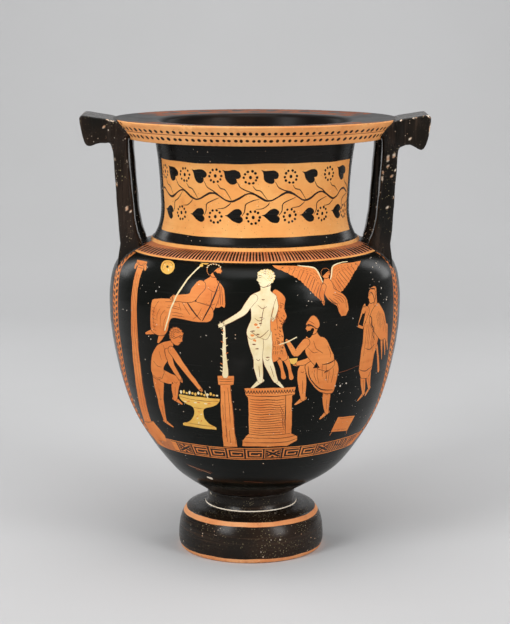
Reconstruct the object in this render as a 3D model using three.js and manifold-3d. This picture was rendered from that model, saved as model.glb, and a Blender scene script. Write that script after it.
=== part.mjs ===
// Column-krater: a wheel-thrown mixing bowl of fired clay with a hollow foot, a tall neck,
// an overhanging lip and two handles, each a pair of columns under a projecting plate.
// The foot, body, neck and handles were luted together and fired, so the pot is one solid.
// Millimetres, +Z up. The origin is on the table, under the middle of the pot's box.
// X runs through the two handles, and -Y is the front.
import * as THREE from "three";
import { mergeVertices } from "three/addons/utils/BufferGeometryUtils.js";
import Module from "manifold-3d";

const wasm = await Module();
wasm.setup();

// ---- driving dimensions ----
const HEIGHT = 515; // table to the lip's top
const SEGMENTS = 44; // facets round the pot
const WALL = 7.5; // thickness of the body's wall
const NECK_WALL = 7.2;
const FOOT_SHIFT = -5; // the foot was set this far off the body's axis, along X
const SHIFT_FROM = 72; // the shift fades out between these heights
const SHIFT_TO = 112;

const FOOT = {
  restOuter: 84.2, // the ring that it stands on
  restInner: 66,
  bulge: 87.4, // widest radius of its rounded side
  bulgeZ: 15,
  shoulder: 78.3, // where the side turns over into the top
  shoulderZ: 47.6,
  topZ: 54, // its top meets the stem
};
const STEM = { radius: 53, waist: 52.4, bottomZ: 54, topZ: 71.5 };
const BODY = {
  maxRadius: 171.5,
  maxZ: 299,
  neckRadius: 121.8, // where the shoulder meets the neck's fillet
  neckZ: 373.4,
};
const NECK = { filletZ: 377.4, filletRadius: 119.6, waist: 110.3, waistZ: 424, topRadius: 117.2, topZ: 491 };
const LIP = {
  outer: 166, // top edge
  lower: 150, // lower edge of the slanting face
  lowerZ: 493,
  mouth: 110.5, // the hole's own radius
  dish: 2.6, // how much lower the top's inner edge is
};
const HANDLE = {
  halfWidth: 54, // of the plate, along Y
  columnOut: 52, // outer side of each column, from the middle
  columnIn: 28, // and its inner side
  reach: 200, // outer end of the plate
  rise: 4.5, // its end stands this much above the lip
  plate: 15, // thickness of the plate between the columns
  bevel: 4, // rounding of the columns' edges
};

// A monotone cubic curve through stations [radius, height], sampled at n steps per span.
function curve(stations, n) {
  const pts = [];
  const v = stations.map(([r, z]) => new THREE.Vector2(r, z));
  const c = new THREE.SplineCurve(v);
  const m = (v.length - 1) * n;
  for (let i = 0; i <= m; i++) pts.push(c.getPoint(i / m));
  return pts;
}

// Quarter of a superellipse from the widest point (R, z0) to (r1, z1).
function swell(R, z0, r1, z1, across, along, n) {
  const pts = [];
  for (let i = 0; i <= n; i++) {
    const a = (i / n) * (Math.PI / 2);
    const t = Math.pow(Math.sin(a), 2 / along);
    const u = Math.pow(Math.cos(a), 2 / across);
    pts.push(new THREE.Vector2(r1 + (R - r1) * u, z0 + (z1 - z0) * t));
  }
  return pts;
}

// ---- outer profile, from the resting ring to the mouth ----
const LOWER_BODY = [
  [STEM.radius + 1.2, STEM.topZ + 0.6],
  [70.3, 82], [96.4, 100], [117.9, 125], [144.8, 170], [163.6, 230], [170.6, 277],
  [BODY.maxRadius, BODY.maxZ],
];
const SHOULDER = [
  [BODY.maxRadius, BODY.maxZ],
  [169.2, 329], [163.2, 346.5], [151.5, 359.8], [137.5, 368.2],
  [BODY.neckRadius, BODY.neckZ],
];
const NECK_SIDE = [
  [NECK.filletRadius - 1.8, NECK.filletZ + 0.8],
  [112.6, 391], [NECK.waist, NECK.waistZ], [113.2, 463],
  [NECK.topRadius, NECK.topZ],
];
const outer = [
  [FOOT.restOuter, 0],
  ...curve([[FOOT.restOuter + 0.9, 1.2], [FOOT.bulge, FOOT.bulgeZ], [85.2, 34.5], [FOOT.shoulder, FOOT.shoulderZ]], 3)
    .map((p) => [p.x, p.y]),
  [70, 51.4],
  [STEM.radius + 1.6, FOOT.topZ - 0.2],
  [STEM.radius + 1.4, FOOT.topZ + 1.6],
  [STEM.waist, 62],
  [STEM.radius, STEM.topZ],
  ...curve(LOWER_BODY, 2).map((p) => [p.x, p.y]),
  ...curve(SHOULDER, 2).slice(1).map((p) => [p.x, p.y]),
  [NECK.filletRadius + 1.4, NECK.filletZ - 2.2],
  [NECK.filletRadius, NECK.filletZ],
  ...curve(NECK_SIDE, 2).map((p) => [p.x, p.y]),
  [LIP.lower - 3, LIP.lowerZ - 1],
  [LIP.lower, LIP.lowerZ],
  [LIP.outer - 0.4, HEIGHT - 2.2],
  [LIP.outer - 1.4, HEIGHT],
  [LIP.mouth + 8, HEIGHT - LIP.dish],
].map(([r, z]) => new THREE.Vector2(r, z));

// ---- inner profile: the wall's thickness taken off the outer curves along their normals ----
function inside(stations, wall) {
  const c = new THREE.SplineCurve(stations.map(([r, z]) => new THREE.Vector2(r, z)));
  const out = [];
  const m = stations.length - 1;
  for (let i = 0; i <= m; i++) {
    const p = c.getPoint(i / m);
    const t = c.getTangent(i / m);
    out.push([p.x - wall * t.y, p.y + wall * t.x]);
  }
  return out;
}
const FLOOR = 84; // the bowl's floor on the axis
const bowl = inside(LOWER_BODY, WALL).slice(2);
const cavity = [
  [0, FLOOR], [36, FLOOR + 1], [66, FLOOR + 6.5],
  ...bowl,
  ...inside(SHOULDER, WALL).slice(1, 5),
  [BODY.neckRadius - WALL - 1, BODY.neckZ - 4],
  ...inside(NECK_SIDE, NECK_WALL).slice(1, 4),
  [LIP.mouth - 2.5, HEIGHT - 16],
  [LIP.mouth, HEIGHT - LIP.dish - 4],
  [LIP.mouth + 3, HEIGHT - LIP.dish - 0.8],
  [LIP.mouth + 8, HEIGHT - LIP.dish + 0.01],
  [LIP.mouth + 8, HEIGHT + 20],
  [0, HEIGHT + 20],
].map(([r, z]) => new THREE.Vector2(r, z));

// ---- hollow under the foot ----
const under = [
  [0, -10], [FOOT.restInner, -10], [FOOT.restInner, 0], [64, 3], [59.5, 13], [52, 28], [44.5, 44],
  [40, 57], [32, 67], [16, 72.6], [0, 74],
].map(([r, z]) => new THREE.Vector2(r, z));

// A closed three.js geometry as a solid: only positions are kept and equal corners are merged.
function solid(geometry) {
  const g = geometry.clone();
  for (const k of Object.keys(g.attributes)) if (k !== "position") g.deleteAttribute(k);
  const m = mergeVertices(g, 1e-3);
  const tri = [];
  const ix = m.index.array;
  for (let i = 0; i < ix.length; i += 3)
    if (ix[i] !== ix[i + 1] && ix[i + 1] !== ix[i + 2] && ix[i] !== ix[i + 2]) tri.push(ix[i], ix[i + 1], ix[i + 2]);
  const made = new wasm.Manifold(
    new wasm.Mesh({ numProp: 3, vertProperties: new Float32Array(m.attributes.position.array), triVerts: new Uint32Array(tri) }),
  );
  if (made.volume() < 0) throw new Error("a profile runs the wrong way round");
  return made;
}

const ease = (t) => t * t * (3 - 2 * t);
function lathe(profile) {
  const g = new THREE.LatheGeometry(profile, SEGMENTS);
  g.rotateX(Math.PI / 2);
  const p = g.attributes.position;
  for (let i = 0; i < p.count; i++) {
    const z = p.getZ(i);
    const k = Math.min(1, Math.max(0, (z - SHIFT_FROM) / (SHIFT_TO - SHIFT_FROM)));
    p.setX(i, p.getX(i) + FOOT_SHIFT * (1 - ease(k)));
  }
  return solid(g);
}

// ---- one handle, on the +X side, in the X-Z plane ----
// The side face: a column that flares on the shoulder, and the plate with its drooping end.
function sideShape() {
  const top = HEIGHT;
  const s = new THREE.Shape();
  s.moveTo(158, 330);
  s.lineTo(156.2, 372);
  s.lineTo(157.6, 400);
  s.lineTo(162.4, 478);
  s.bezierCurveTo(163.2, 487, 167, 490.4, 171, 490.4);
  s.bezierCurveTo(177, 490.4, 179, 484.6, 185, 484.2);
  s.bezierCurveTo(189, 484, 191.4, 486, 192.4, 490);
  s.lineTo(HANDLE.reach, top - 1.5);
  s.bezierCurveTo(HANDLE.reach + 0.6, top + 3, HANDLE.reach - 2, top + HANDLE.rise, HANDLE.reach - 6, top + HANDLE.rise);
  s.lineTo(178, top + 2);
  s.lineTo(157, top - 0.3);
  s.lineTo(136, top - 1.4);
  s.lineTo(134, LIP.lowerZ + 1);
  s.lineTo(144.6, LIP.lowerZ - 4);
  s.lineTo(141, 431);
  s.lineTo(138.6, 402);
  s.bezierCurveTo(137, 388, 130, 376, 118, 371);
  s.lineTo(118, 330);
  s.closePath();
  return s;
}
// The same plate between the columns: thinner, with the drooping end running across.
function plateShape() {
  const top = HEIGHT;
  const low = top - HANDLE.plate;
  const s = new THREE.Shape();
  s.moveTo(134, top - 1.4);
  s.lineTo(134, low);
  s.lineTo(168, low);
  s.bezierCurveTo(176, low, 177.5, 484.6, 185, 484.2);
  s.bezierCurveTo(189, 484, 191.4, 486, 192.4, 490);
  s.lineTo(HANDLE.reach, top - 1.5);
  s.bezierCurveTo(HANDLE.reach + 0.6, top + 3, HANDLE.reach - 2, top + HANDLE.rise, HANDLE.reach - 6, top + HANDLE.rise);
  s.lineTo(178, top + 2);
  s.lineTo(157, top - 0.3);
  s.closePath();
  return s;
}
// Extrudes a shape drawn in X-Z along Y, from y0 to y1.
function alongY(shape, y0, y1, bevel) {
  const g = new THREE.ExtrudeGeometry(shape, {
    depth: y1 - y0 - 2 * bevel,
    curveSegments: 4,
    bevelEnabled: bevel > 0,
    bevelThickness: bevel,
    bevelSize: bevel,
    bevelOffset: -bevel,
    bevelSegments: 2,
  });
  g.rotateX(Math.PI / 2); // the shape's own y becomes +Z, and its depth runs to -Y
  g.translate(0, y1 - bevel, 0);
  return solid(g);
}

const outerClosed = [new THREE.Vector2(0, 0), ...outer, new THREE.Vector2(LIP.mouth + 8, HEIGHT - LIP.dish), new THREE.Vector2(0, HEIGHT - LIP.dish)];
let pot = lathe(outerClosed);
for (const side of [1, -1]) {
  for (const end of [1, -1]) {
    const [a, b] = end > 0 ? [HANDLE.columnIn, HANDLE.columnOut] : [-HANDLE.columnOut, -HANDLE.columnIn];
    let column = alongY(sideShape(), a, b, HANDLE.bevel);
    if (side < 0) column = column.rotate([0, 0, 180]);
    pot = pot.add(column);
  }
  let plate = alongY(plateShape(), -HANDLE.halfWidth, HANDLE.halfWidth, 3);
  if (side < 0) plate = plate.rotate([0, 0, 180]);
  pot = pot.add(plate);
}
pot = pot.subtract(lathe(cavity)).subtract(lathe(under));

function geometryOf(manifold) {
  const m = manifold.getMesh();
  const v = new Float32Array(m.numVert * 3);
  for (let i = 0; i < m.numVert; i++) v.set(m.vertProperties.subarray(i * m.numProp, i * m.numProp + 3), i * 3);
  const g = new THREE.BufferGeometry();
  g.setAttribute("position", new THREE.BufferAttribute(v, 3));
  g.setIndex(new THREE.BufferAttribute(new Uint32Array(m.triVerts), 1));
  g.computeVertexNormals();
  return g;
}

const group = new THREE.Group();
const krater = new THREE.Mesh(
  geometryOf(pot),
  new THREE.MeshStandardMaterial({ color: 0x1c1815, roughness: 0.32, metalness: 0.0 }),
);
krater.name = "krater";
group.add(krater);

export default group;
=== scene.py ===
import math
import bpy
import numpy as np
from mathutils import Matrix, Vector
from mathutils.geometry import delaunay_2d_cdt


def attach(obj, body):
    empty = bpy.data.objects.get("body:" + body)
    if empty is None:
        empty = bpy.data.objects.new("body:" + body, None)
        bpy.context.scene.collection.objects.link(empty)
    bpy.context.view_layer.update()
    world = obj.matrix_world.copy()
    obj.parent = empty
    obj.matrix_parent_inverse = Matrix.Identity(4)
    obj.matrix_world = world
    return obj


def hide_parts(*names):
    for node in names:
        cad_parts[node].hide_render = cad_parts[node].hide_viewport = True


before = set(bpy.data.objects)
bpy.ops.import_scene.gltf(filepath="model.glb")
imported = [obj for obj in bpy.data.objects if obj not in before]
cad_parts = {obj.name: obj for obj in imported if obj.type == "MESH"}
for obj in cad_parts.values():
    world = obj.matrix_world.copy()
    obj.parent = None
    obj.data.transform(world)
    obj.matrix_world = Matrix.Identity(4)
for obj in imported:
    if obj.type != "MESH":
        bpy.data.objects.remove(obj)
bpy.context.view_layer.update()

# ---------------------------------------------------------------------------
# The pot's own sizes, in millimetres, the same as in the solid model
# ---------------------------------------------------------------------------
WALL = 7.5
NECK_WALL = 7.2
FOOT_SHIFT, SHIFT_FROM, SHIFT_TO = -5.0, 72.0, 112.0
BODY_SIDE = [(54.2, 72.1), (70.3, 82), (96.4, 100), (117.9, 125), (144.8, 170), (163.6, 230), (170.6, 277), (171.5, 299),
             (169.2, 329), (163.2, 346.5), (151.5, 359.8), (137.5, 368.2), (121.8, 373.4)]
NECK_SIDE = [(118.3, 377.6), (112.9, 390), (110.3, 424), (113.2, 463), (117.2, 491)]
LIP_OUTER, LIP_TOP, LIP_LOW, LIP_LOW_Z = 166.0, 515.0, 150.0, 493.0
MOUTH = 110.5
COLUMN_OUT, COLUMN_IN = 52.0, 28.0
PLATE_HALF = 54.0
SEED = 4711

# paints
SLIP, CLAY, WHITE, YELLOW, LINE, THIN, GROUND, BARE, HANDLE, SPECK, TOPBAND, TONGUE, CREAM, UNDER = range(14)


def spline(points, step=0.5):
    """A smooth curve through the stations, by arc length."""
    P = np.array(points, float)
    n = len(P)
    t = np.r_[0, np.cumsum(np.hypot(*np.diff(P, axis=0).T))]
    h = np.diff(t)
    A, B = np.zeros((n, n)), np.zeros((n, P.shape[1]))
    A[0, 0] = A[-1, -1] = 1
    for i in range(1, n - 1):
        A[i, i - 1], A[i, i], A[i, i + 1] = h[i - 1], 2 * (h[i - 1] + h[i]), h[i]
        B[i] = 6 * ((P[i + 1] - P[i]) / h[i] - (P[i] - P[i - 1]) / h[i - 1])
    M = np.linalg.solve(A, B)
    q = np.linspace(0, t[-1], max(2, int(t[-1] / step) + 1))
    k = np.clip(np.searchsorted(t, q, side='right') - 1, 0, n - 2)
    a, b = (t[k + 1] - q) / h[k], (q - t[k]) / h[k]
    return (a[:, None] * P[k] + b[:, None] * P[k + 1]
            + ((a ** 3 - a)[:, None] * M[k] + (b ** 3 - b)[:, None] * M[k + 1]) * (h[k] ** 2)[:, None] / 6)


def smooth(x):
    x = np.clip(x, 0, 1)
    return x * x * (3 - 2 * x)


def line(points, step=0.5):
    """Straight runs between the stations."""
    out = []
    for (r0, z0), (r1, z1) in zip(points[:-1], points[1:]):
        n = max(1, int(math.hypot(r1 - r0, z1 - z0) / step))
        t = np.arange(n) / n
        out.append(np.c_[r0 + (r1 - r0) * t, z0 + (z1 - z0) * t])
    out.append(np.array([points[-1]], float))
    return np.vstack(out)


def inside(curve, wall):
    """The inner face of a wall: the curve moved in along its normal."""
    d = np.gradient(curve, axis=0)
    d /= np.linalg.norm(d, axis=1)[:, None]
    return curve + wall * np.c_[-d[:, 1], d[:, 0]]


BODY_CURVE = spline(BODY_SIDE)
_len = np.r_[0, np.cumsum(np.hypot(*np.diff(BODY_CURVE, axis=0).T))]
BODY_V = _len - np.interp(299.0, BODY_CURVE[:, 1], _len) + 299.0     # height along the wall, equal to z at the belly
NECK_CURVE = spline(NECK_SIDE)
_len = np.r_[0, np.cumsum(np.hypot(*np.diff(NECK_CURVE, axis=0).T))]
NECK_V = _len - np.interp(424.0, NECK_CURVE[:, 1], _len) + 424.0
SEAM_V = 371.4                                                        # the body and the shoulder band part here


def uneven(theta, z):
    """How far the hand-thrown wall strays from true, in mm."""
    big = 0.36 * np.sin(2 * theta + 0.7 + z * 0.011) + 0.22 * np.sin(3 * theta - 1.1 - z * 0.017)
    return big + 0.10 * np.sin(5 * theta + z * 0.05) + 0.07 * np.sin(z * 0.21 + 0.4 * np.sin(theta)) + 0.05 * np.sin(z * 0.47 + theta)


def foot_shift(z):
    return FOOT_SHIFT * (1 - smooth((z - SHIFT_FROM) / (SHIFT_TO - SHIFT_FROM)))


# ---------------------------------------------------------------------------
# Paint: outlines in millimetres on the unrolled wall
# ---------------------------------------------------------------------------

def resample(P, step, closed=True):
    P = np.asarray(P, float)
    if closed:
        P = np.vstack([P, P[:1]])
    out = []
    for a, b in zip(P[:-1], P[1:]):
        n = max(1, int(math.ceil(np.hypot(*(b - a)) / step)))
        out.append(a + (b - a) * (np.arange(n) / n)[:, None])
    if not closed:
        out.append(P[-1:])
    return np.vstack(out)


def catmull(P, per=5, closed=False):
    P = np.asarray(P, float)
    n = len(P)
    t = (np.arange(per) / per)[:, None]
    out = []
    for i in range(n if closed else n - 1):
        p0, p1, p2, p3 = ((P[(i - 1) % n], P[i], P[(i + 1) % n], P[(i + 2) % n]) if closed
                          else (P[max(i - 1, 0)], P[i], P[i + 1], P[min(i + 2, n - 1)]))
        out.append(0.5 * (2 * p1 + (p2 - p0) * t + (2 * p0 - 5 * p1 + 4 * p2 - p3) * t ** 2 + (3 * p1 - p0 - 3 * p2 + p3) * t ** 3))
    if not closed:
        out.append(P[-1:])
    return np.vstack(out)


def chain(stations, per=5, cap=5, close_ends=True):
    """A limb: an outline swept round a smooth line through (x, y, half-width) stations, with round ends."""
    C = catmull(stations, per)
    d = np.gradient(C[:, :2], axis=0)
    d /= np.maximum(np.linalg.norm(d, axis=1), 1e-9)[:, None]
    n = np.c_[-d[:, 1], d[:, 0]]
    r = np.maximum(C[:, 2], 0.25)[:, None]
    left, right = C[:, :2] + n * r, C[:, :2] - n * r
    if not close_ends:
        return np.vstack([left, right[::-1]])
    a = np.linspace(0, math.pi, cap + 2)[1:-1, None]
    end = C[-1, :2] + r[-1] * (n[-1] * np.cos(a) + d[-1] * np.sin(a))
    start = C[0, :2] + r[0] * (-n[0] * np.cos(a) - d[0] * np.sin(a))
    return np.vstack([left, end, right[::-1], start])


def stroke(points, w=1.0, taper=0.45, per=4):
    """A brush line: thick in the middle and thinner at its ends."""
    P = np.asarray(points, float)
    k = np.linspace(0, 1, len(P))
    half = w / 2 * (taper + (1 - taper) * np.sin(np.pi * np.clip(k, 0.0, 1.0)) ** 0.6)
    return chain(np.c_[P, half], per, 2)


def ellipse(x, y, a, b=None, turn=0.0, n=14):
    b = a if b is None else b
    t = np.linspace(0, 2 * math.pi, n, endpoint=False)
    c, s = math.cos(turn), math.sin(turn)
    px, py = a * np.cos(t), b * np.sin(t)
    return np.c_[x + c * px - s * py, y + s * px + c * py]


def turned(P, x, y, turn=0.0, scale=1.0, flip=1):
    P = np.asarray(P, float) * [scale * flip, scale]
    c, s = math.cos(turn), math.sin(turn)
    return np.c_[x + c * P[:, 0] - s * P[:, 1], y + s * P[:, 0] + c * P[:, 1]]


def grow(P, by):
    """The same outline, moved outwards."""
    P = np.asarray(P, float)
    area = 0.5 * np.sum(P[:, 0] * np.roll(P[:, 1], -1) - np.roll(P[:, 0], -1) * P[:, 1])
    if area < 0:
        P = P[::-1]
    d = np.roll(P, -1, 0) - np.roll(P, 1, 0)
    d /= np.maximum(np.linalg.norm(d, axis=1), 1e-9)[:, None]
    return P + by * np.c_[d[:, 1], -d[:, 0]]


def shaky(P, size=0.32):
    """Freehand drawing: the outline strays a little, the same way for lines that lie together."""
    x, y = P[:, 0], P[:, 1]
    dx = np.sin(0.31 * x + 0.17 * y + 1.3) + 0.6 * np.sin(0.13 * x - 0.41 * y + 0.4) + 0.4 * np.sin(0.77 * y + 0.23 * x)
    dy = np.sin(0.27 * x - 0.22 * y + 2.1) + 0.6 * np.sin(0.11 * x + 0.37 * y + 4.0) + 0.4 * np.sin(0.69 * x - 0.3 * y)
    return P + size * np.c_[dx, dy] * 0.55


class Picture:
    """Paint layers in order, each one an outline and a paint."""

    def __init__(self):
        self.layers = []

    def add(self, P, paint, edge=0.0, shake=0.32, step=3.2, edge_paint=LINE):
        P = shaky(resample(P, step), shake) if shake else resample(P, step)
        if edge:
            self.layers.append((grow(P, edge), edge_paint))
        self.layers.append((P, paint))

    def lines(self, many, w=1.0, paint=LINE, shake=0.32, taper=0.45, per=4):
        for one in many:
            self.add(stroke(one, w, taper, per), paint, 0, shake)


# --- ornaments --------------------------------------------------------------

def ivy_leaf(size=8.0, lean=0.0):
    """A heart-shaped leaf with its point at +x and a shallow notch at -x."""
    half = [(1.42, 0.0), (1.08, 0.10), (0.78, 0.34), (0.45, 0.66), (0.02, 0.90), (-0.45, 0.94), (-0.80, 0.72), (-0.92, 0.40), (-0.80, 0.14), (-0.62, 0.0)]
    P = np.array(half + [(x, -y) for x, y in half[-2:0:-1]])
    P = catmull(P, 3, True)
    P[:, 1] += lean * P[:, 0]
    return P * size


def rosette(pic, x, y, size, rng, squash=1.0, paint=SLIP):
    n = 10
    for k in range(n):
        a = 2 * math.pi * (k + 0.25 * rng.random()) / n
        rr = size * (0.94 + 0.1 * rng.random())
        pic.add(ellipse(x + squash * rr * math.cos(a), y + rr * math.sin(a), squash * (1.35 + 0.35 * rng.random()), 1.4 + 0.35 * rng.random(), a, 8), paint, shake=0)
    pic.add(ellipse(x, y, 1.8 * squash, 2.1, 0.1, 10), paint, shake=0)


def bars(pic, path, w, paint=LINE):
    """Straight brush bars through the corners of a path."""
    for p, q in zip(path[:-1], path[1:]):
        d = np.array(q, float) - p
        d = d / np.hypot(*d) * w / 2
        pic.add(chain([(p[0] - d[0], p[1] - d[1], w / 2), (q[0] + d[0], q[1] + d[1], w / 2)], 2, 0, False), paint, shake=0.16)


def key_unit(pic, x, y, w, h, rng, paint=LINE):
    """One closed key pattern: an upright and a square spiral."""
    t = 2.15 + 0.2 * rng.random()
    bars(pic, [(x + 1.0, y - 0.4), (x + 1.0, y + h + 0.4)], t, paint)
    a, b = x + 4.9, x + w - 2.0
    lo, hi = y + 2.5, y + h - 2.5
    bars(pic, [(b, hi), (a, hi), (a, lo), (b, lo), (b, hi - 3.9), (a + 4.0, hi - 3.9), (a + 4.0, lo + 4.0), (b - 4.2, lo + 4.0)], t, paint)


def cross_square(pic, x, y, w, h, rng, paint=LINE):
    """A saltire in a square, with a dot in each quarter."""
    bars(pic, [(x + 1.0, y - 0.4), (x + 1.0, y + h + 0.4)], 1.9, paint)
    for a, b in (((x + 4.6, y + 3.2), (x + w - 2.8, y + h - 3.2)), ((x + 4.6, y + h - 3.2), (x + w - 2.8, y + 3.2))):
        pic.add(chain([(*a, 1.35), (*b, 1.35)], 3, 1), paint, shake=0.2)
    cx, cy = x + 0.5 * (w + 1.8), y + h / 2
    for dx, dy in ((0.31 * w, 0), (-0.31 * w, 0), (0, 0.33 * h), (0, -0.33 * h)):
        pic.add(ellipse(cx + dx, cy + dy, 1.75, 1.6, 0, 8), paint, shake=0.1)
    bars(pic, [(x + 3.4, y + 0.9), (x + w - 1.2, y + 0.9), (x + w - 1.2, y + h - 0.9), (x + 3.4, y + h - 0.9), (x + 3.4, y + 0.9)], 1.0, paint)


# --- figures: joints and half-widths only, all of them stock figures --------

def head(pic, x, y, size, face=1, tilt=0.0, hair='black', paint=CLAY, beard=False, cap=False, wreath=False):
    """A stock profile head: an oval skull, an even forehead, nose, lips and chin on thirds of the face."""
    s = size
    prof = np.array([(-0.1, -0.95), (0.3, -1.0), (0.62, -0.86), (0.70, -0.62), (0.78, -0.50), (0.74, -0.40), (0.80, -0.28), (0.98, -0.10),
                     (0.82, 0.18), (0.80, 0.50), (0.62, 0.82), (0.25, 1.02), (-0.25, 1.02), (-0.68, 0.78), (-0.88, 0.32), (-0.84, -0.15), (-0.62, -0.55), (-0.42, -0.9)])
    place = lambda P: turned(P, x, y, tilt, s, face)
    pic.add(place(prof), paint, 0.7, shake=0.1, step=1.6)
    curls = catmull([(0.30, 1.0), (0.74, 0.62), (0.42, 0.42), (0.12, 0.12), (-0.14, -0.18), (-0.40, -0.42), (-0.72, -0.62), (-1.0, -0.1), (-0.92, 0.55), (-0.45, 1.08)], 3, True)
    if cap:
        pic.add(place(catmull([(0.86, 0.42), (0.55, 0.95), (0.05, 1.45), (-0.45, 1.42), (-0.95, 0.75), (-1.0, 0.0), (-0.55, -0.30), (0.0, 0.18)], 4, True)), paint, 0.6, shake=0.1, step=2)
        pic.lines([place([(0.88, 0.40), (0.3, 0.34), (-0.25, -0.05), (-0.6, -0.32)])], 1.3, LINE, 0.1)
        pic.lines([place([(0.5, 0.9), (0.1, 0.7), (-0.3, 0.35)])], 0.6, THIN, 0.1)
    elif hair == 'black':
        pic.add(place(curls * 1.06), paint, 0.0, shake=0.1, step=2)
        pic.add(place(curls), SLIP, 0.0, shake=0.15, step=2)
    elif hair == 'curls':
        pic.add(place(curls * 1.03), paint, 0.55 if paint == CLAY else 0.35, shake=0.1, step=2, edge_paint=LINE if paint == CLAY else YELLOW)
        for k in range(10):
            a = 0.75 + k * 0.40
            pic.add(place(ellipse(0.88 * math.cos(a) - 0.10, 0.86 * math.sin(a) + 0.20, 0.24, 0.20, a, 9)), paint, 0, shake=0)
        for rad, n, a0 in ((0.92, 10, 0.8), (0.62, 7, 1.0), (0.34, 4, 1.3)):
            for k in range(n):
                a = a0 + k * 3.5 / n
                cx, cy = rad * math.cos(a) - 0.14, rad * math.sin(a) + 0.24
                arc = [(cx + 0.13 * math.cos(a + q), cy + 0.13 * math.sin(a + q)) for q in (-1.4, 0.0, 1.4, 2.6)]
                pic.lines([place(arc)], 0.55, (LINE if paint == CLAY else (YELLOW if (k + n) % 4 else THIN)), 0, 0.6, 2)
    if wreath:
        for k in range(7):
            a = 0.35 + k * 0.42
            pic.add(place(ellipse(0.92 * math.cos(a) - 0.1, 0.80 * math.sin(a) + 0.30, 0.15, 0.07, a + 0.8, 7)), WHITE, shake=0)
    if beard:
        pic.add(place(catmull([(0.70, -0.42), (0.34, -0.38), (0.10, -0.10), (-0.22, -0.30), (0.02, -0.92), (0.52, -1.42), (0.92, -1.05)], 3, True)), SLIP, 0, shake=0.1, step=2)
    # eye, brow, mouth: three short even strokes
    pic.lines([place([(0.40, 0.20), (0.56, 0.23), (0.68, 0.18)]), place([(0.38, 0.42), (0.56, 0.47), (0.74, 0.40)])], 0.55 if s < 8 else 0.7, LINE, 0, 0.6, 2)
    pic.lines([place([(0.55, -0.47), (0.74, -0.45)])], 0.5, LINE, 0, 0.8, 2)


def foot(pic, ax, ay, tx, ty, paint=CLAY, r=2.6):
    """A foot from the heel under the ankle to the toes."""
    d = np.array([tx - ax, ty - ay])
    L = max(np.hypot(*d), 1e-6)
    d = d / L
    n = np.array([-d[1], d[0]])
    if n[1] > 0:
        n = -n
    heel = np.array([ax, ay]) - d * r * 0.9 + n * 0.6
    pic.add(chain([(heel[0], heel[1], r * 0.85), (ax + d[0] * r, ay + d[1] * r + 0.2, r * 0.95), (ax + d[0] * L * 0.7, ay + d[1] * L * 0.7, r * 0.62), (tx, ty, r * 0.42)], 4, 3), paint, 0.0, shake=0.15)


def leg(pic, hip, knee, ankle, toe, r=(9.5, 6.4, 3.5), paint=CLAY, edge=0.5):
    calf = (0.62 * knee[0] + 0.38 * ankle[0] - 0.6, 0.62 * knee[1] + 0.38 * ankle[1], 0.9 * r[1])
    foot(pic, *ankle, *toe, paint, r[2] * 0.95)
    pic.add(chain([(*hip, r[0]), (0.5 * (hip[0] + knee[0]), 0.5 * (hip[1] + knee[1]), 0.90 * r[0]), (*knee, r[1] * 0.95), calf, (*ankle, r[2])], 5, 4), paint, edge, edge_paint=THIN if paint == WHITE else LINE)
    pic.lines([[(knee[0] - r[1] * 0.35, knee[1] - 1.5), (knee[0] + r[1] * 0.1, knee[1] - 3.0), (knee[0] + r[1] * 0.4, knee[1] - 1.2)]], 0.6, THIN)
    pic.lines([[(calf[0] + 0.5, calf[1] + 1.0), (0.3 * calf[0] + 0.7 * ankle[0], 0.3 * calf[1] + 0.7 * ankle[1])]], 0.5, THIN)


def arm(pic, shoulder, elbow, hand_at, r=(5.4, 4.3, 2.7), paint=CLAY, edge=0.55):
    d = np.array(hand_at, float) - elbow
    d /= max(np.hypot(*d), 1e-6)
    h = np.array(hand_at, float)
    ep = THIN if paint == WHITE else LINE
    pic.add(chain([(*(h - d * 2.0), r[2] * 0.9), (*(h + d * 1.5), r[2] * 1.15), (*(h + d * 5.0), r[2] * 0.45)], 3, 3), paint, edge * 0.8, shake=0.12, edge_paint=ep)
    pic.add(chain([(*shoulder, r[0]), (0.5 * (shoulder[0] + elbow[0]), 0.5 * (shoulder[1] + elbow[1]), 0.9 * r[0]), (*elbow, r[1]), (*hand_at, r[2])], 5, 4), paint, edge, edge_paint=ep)
    n = np.array([-d[1], d[0]])
    for q in (-0.35, 0.25):
        pic.lines([[tuple(h + d * 2.2 + n * q * r[2]), tuple(h + d * 4.6 + n * q * 0.6 * r[2])]], 0.45, ep, 0)


def folds(pic, a_line, b_line, n, w=0.7, paint=LINE, start=0.06, stop=0.94, rng=None):
    """Fold lines spread between two edges of a piece of cloth."""
    A, B = catmull(a_line, 5), catmull(b_line, 5)
    m = min(len(A), len(B))
    A, B = A[np.linspace(0, len(A) - 1, m).astype(int)], B[np.linspace(0, len(B) - 1, m).astype(int)]
    for k in range(n):
        f = (k + 0.5) / n + (0 if rng is None else (rng.random() - 0.5) * 0.5 / n)
        i0 = int(m * (start + (0 if rng is None else 0.25 * rng.random())))
        i1 = max(i0 + 3, int(m * (stop - (0 if rng is None else 0.2 * rng.random()))))
        P = A[i0:i1] * (1 - f) + B[i0:i1] * f
        if len(P) > 6:
            P = P[::3]
        if len(P) >= 2:
            pic.lines([P], w, paint, taper=0.3, per=2)


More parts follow.
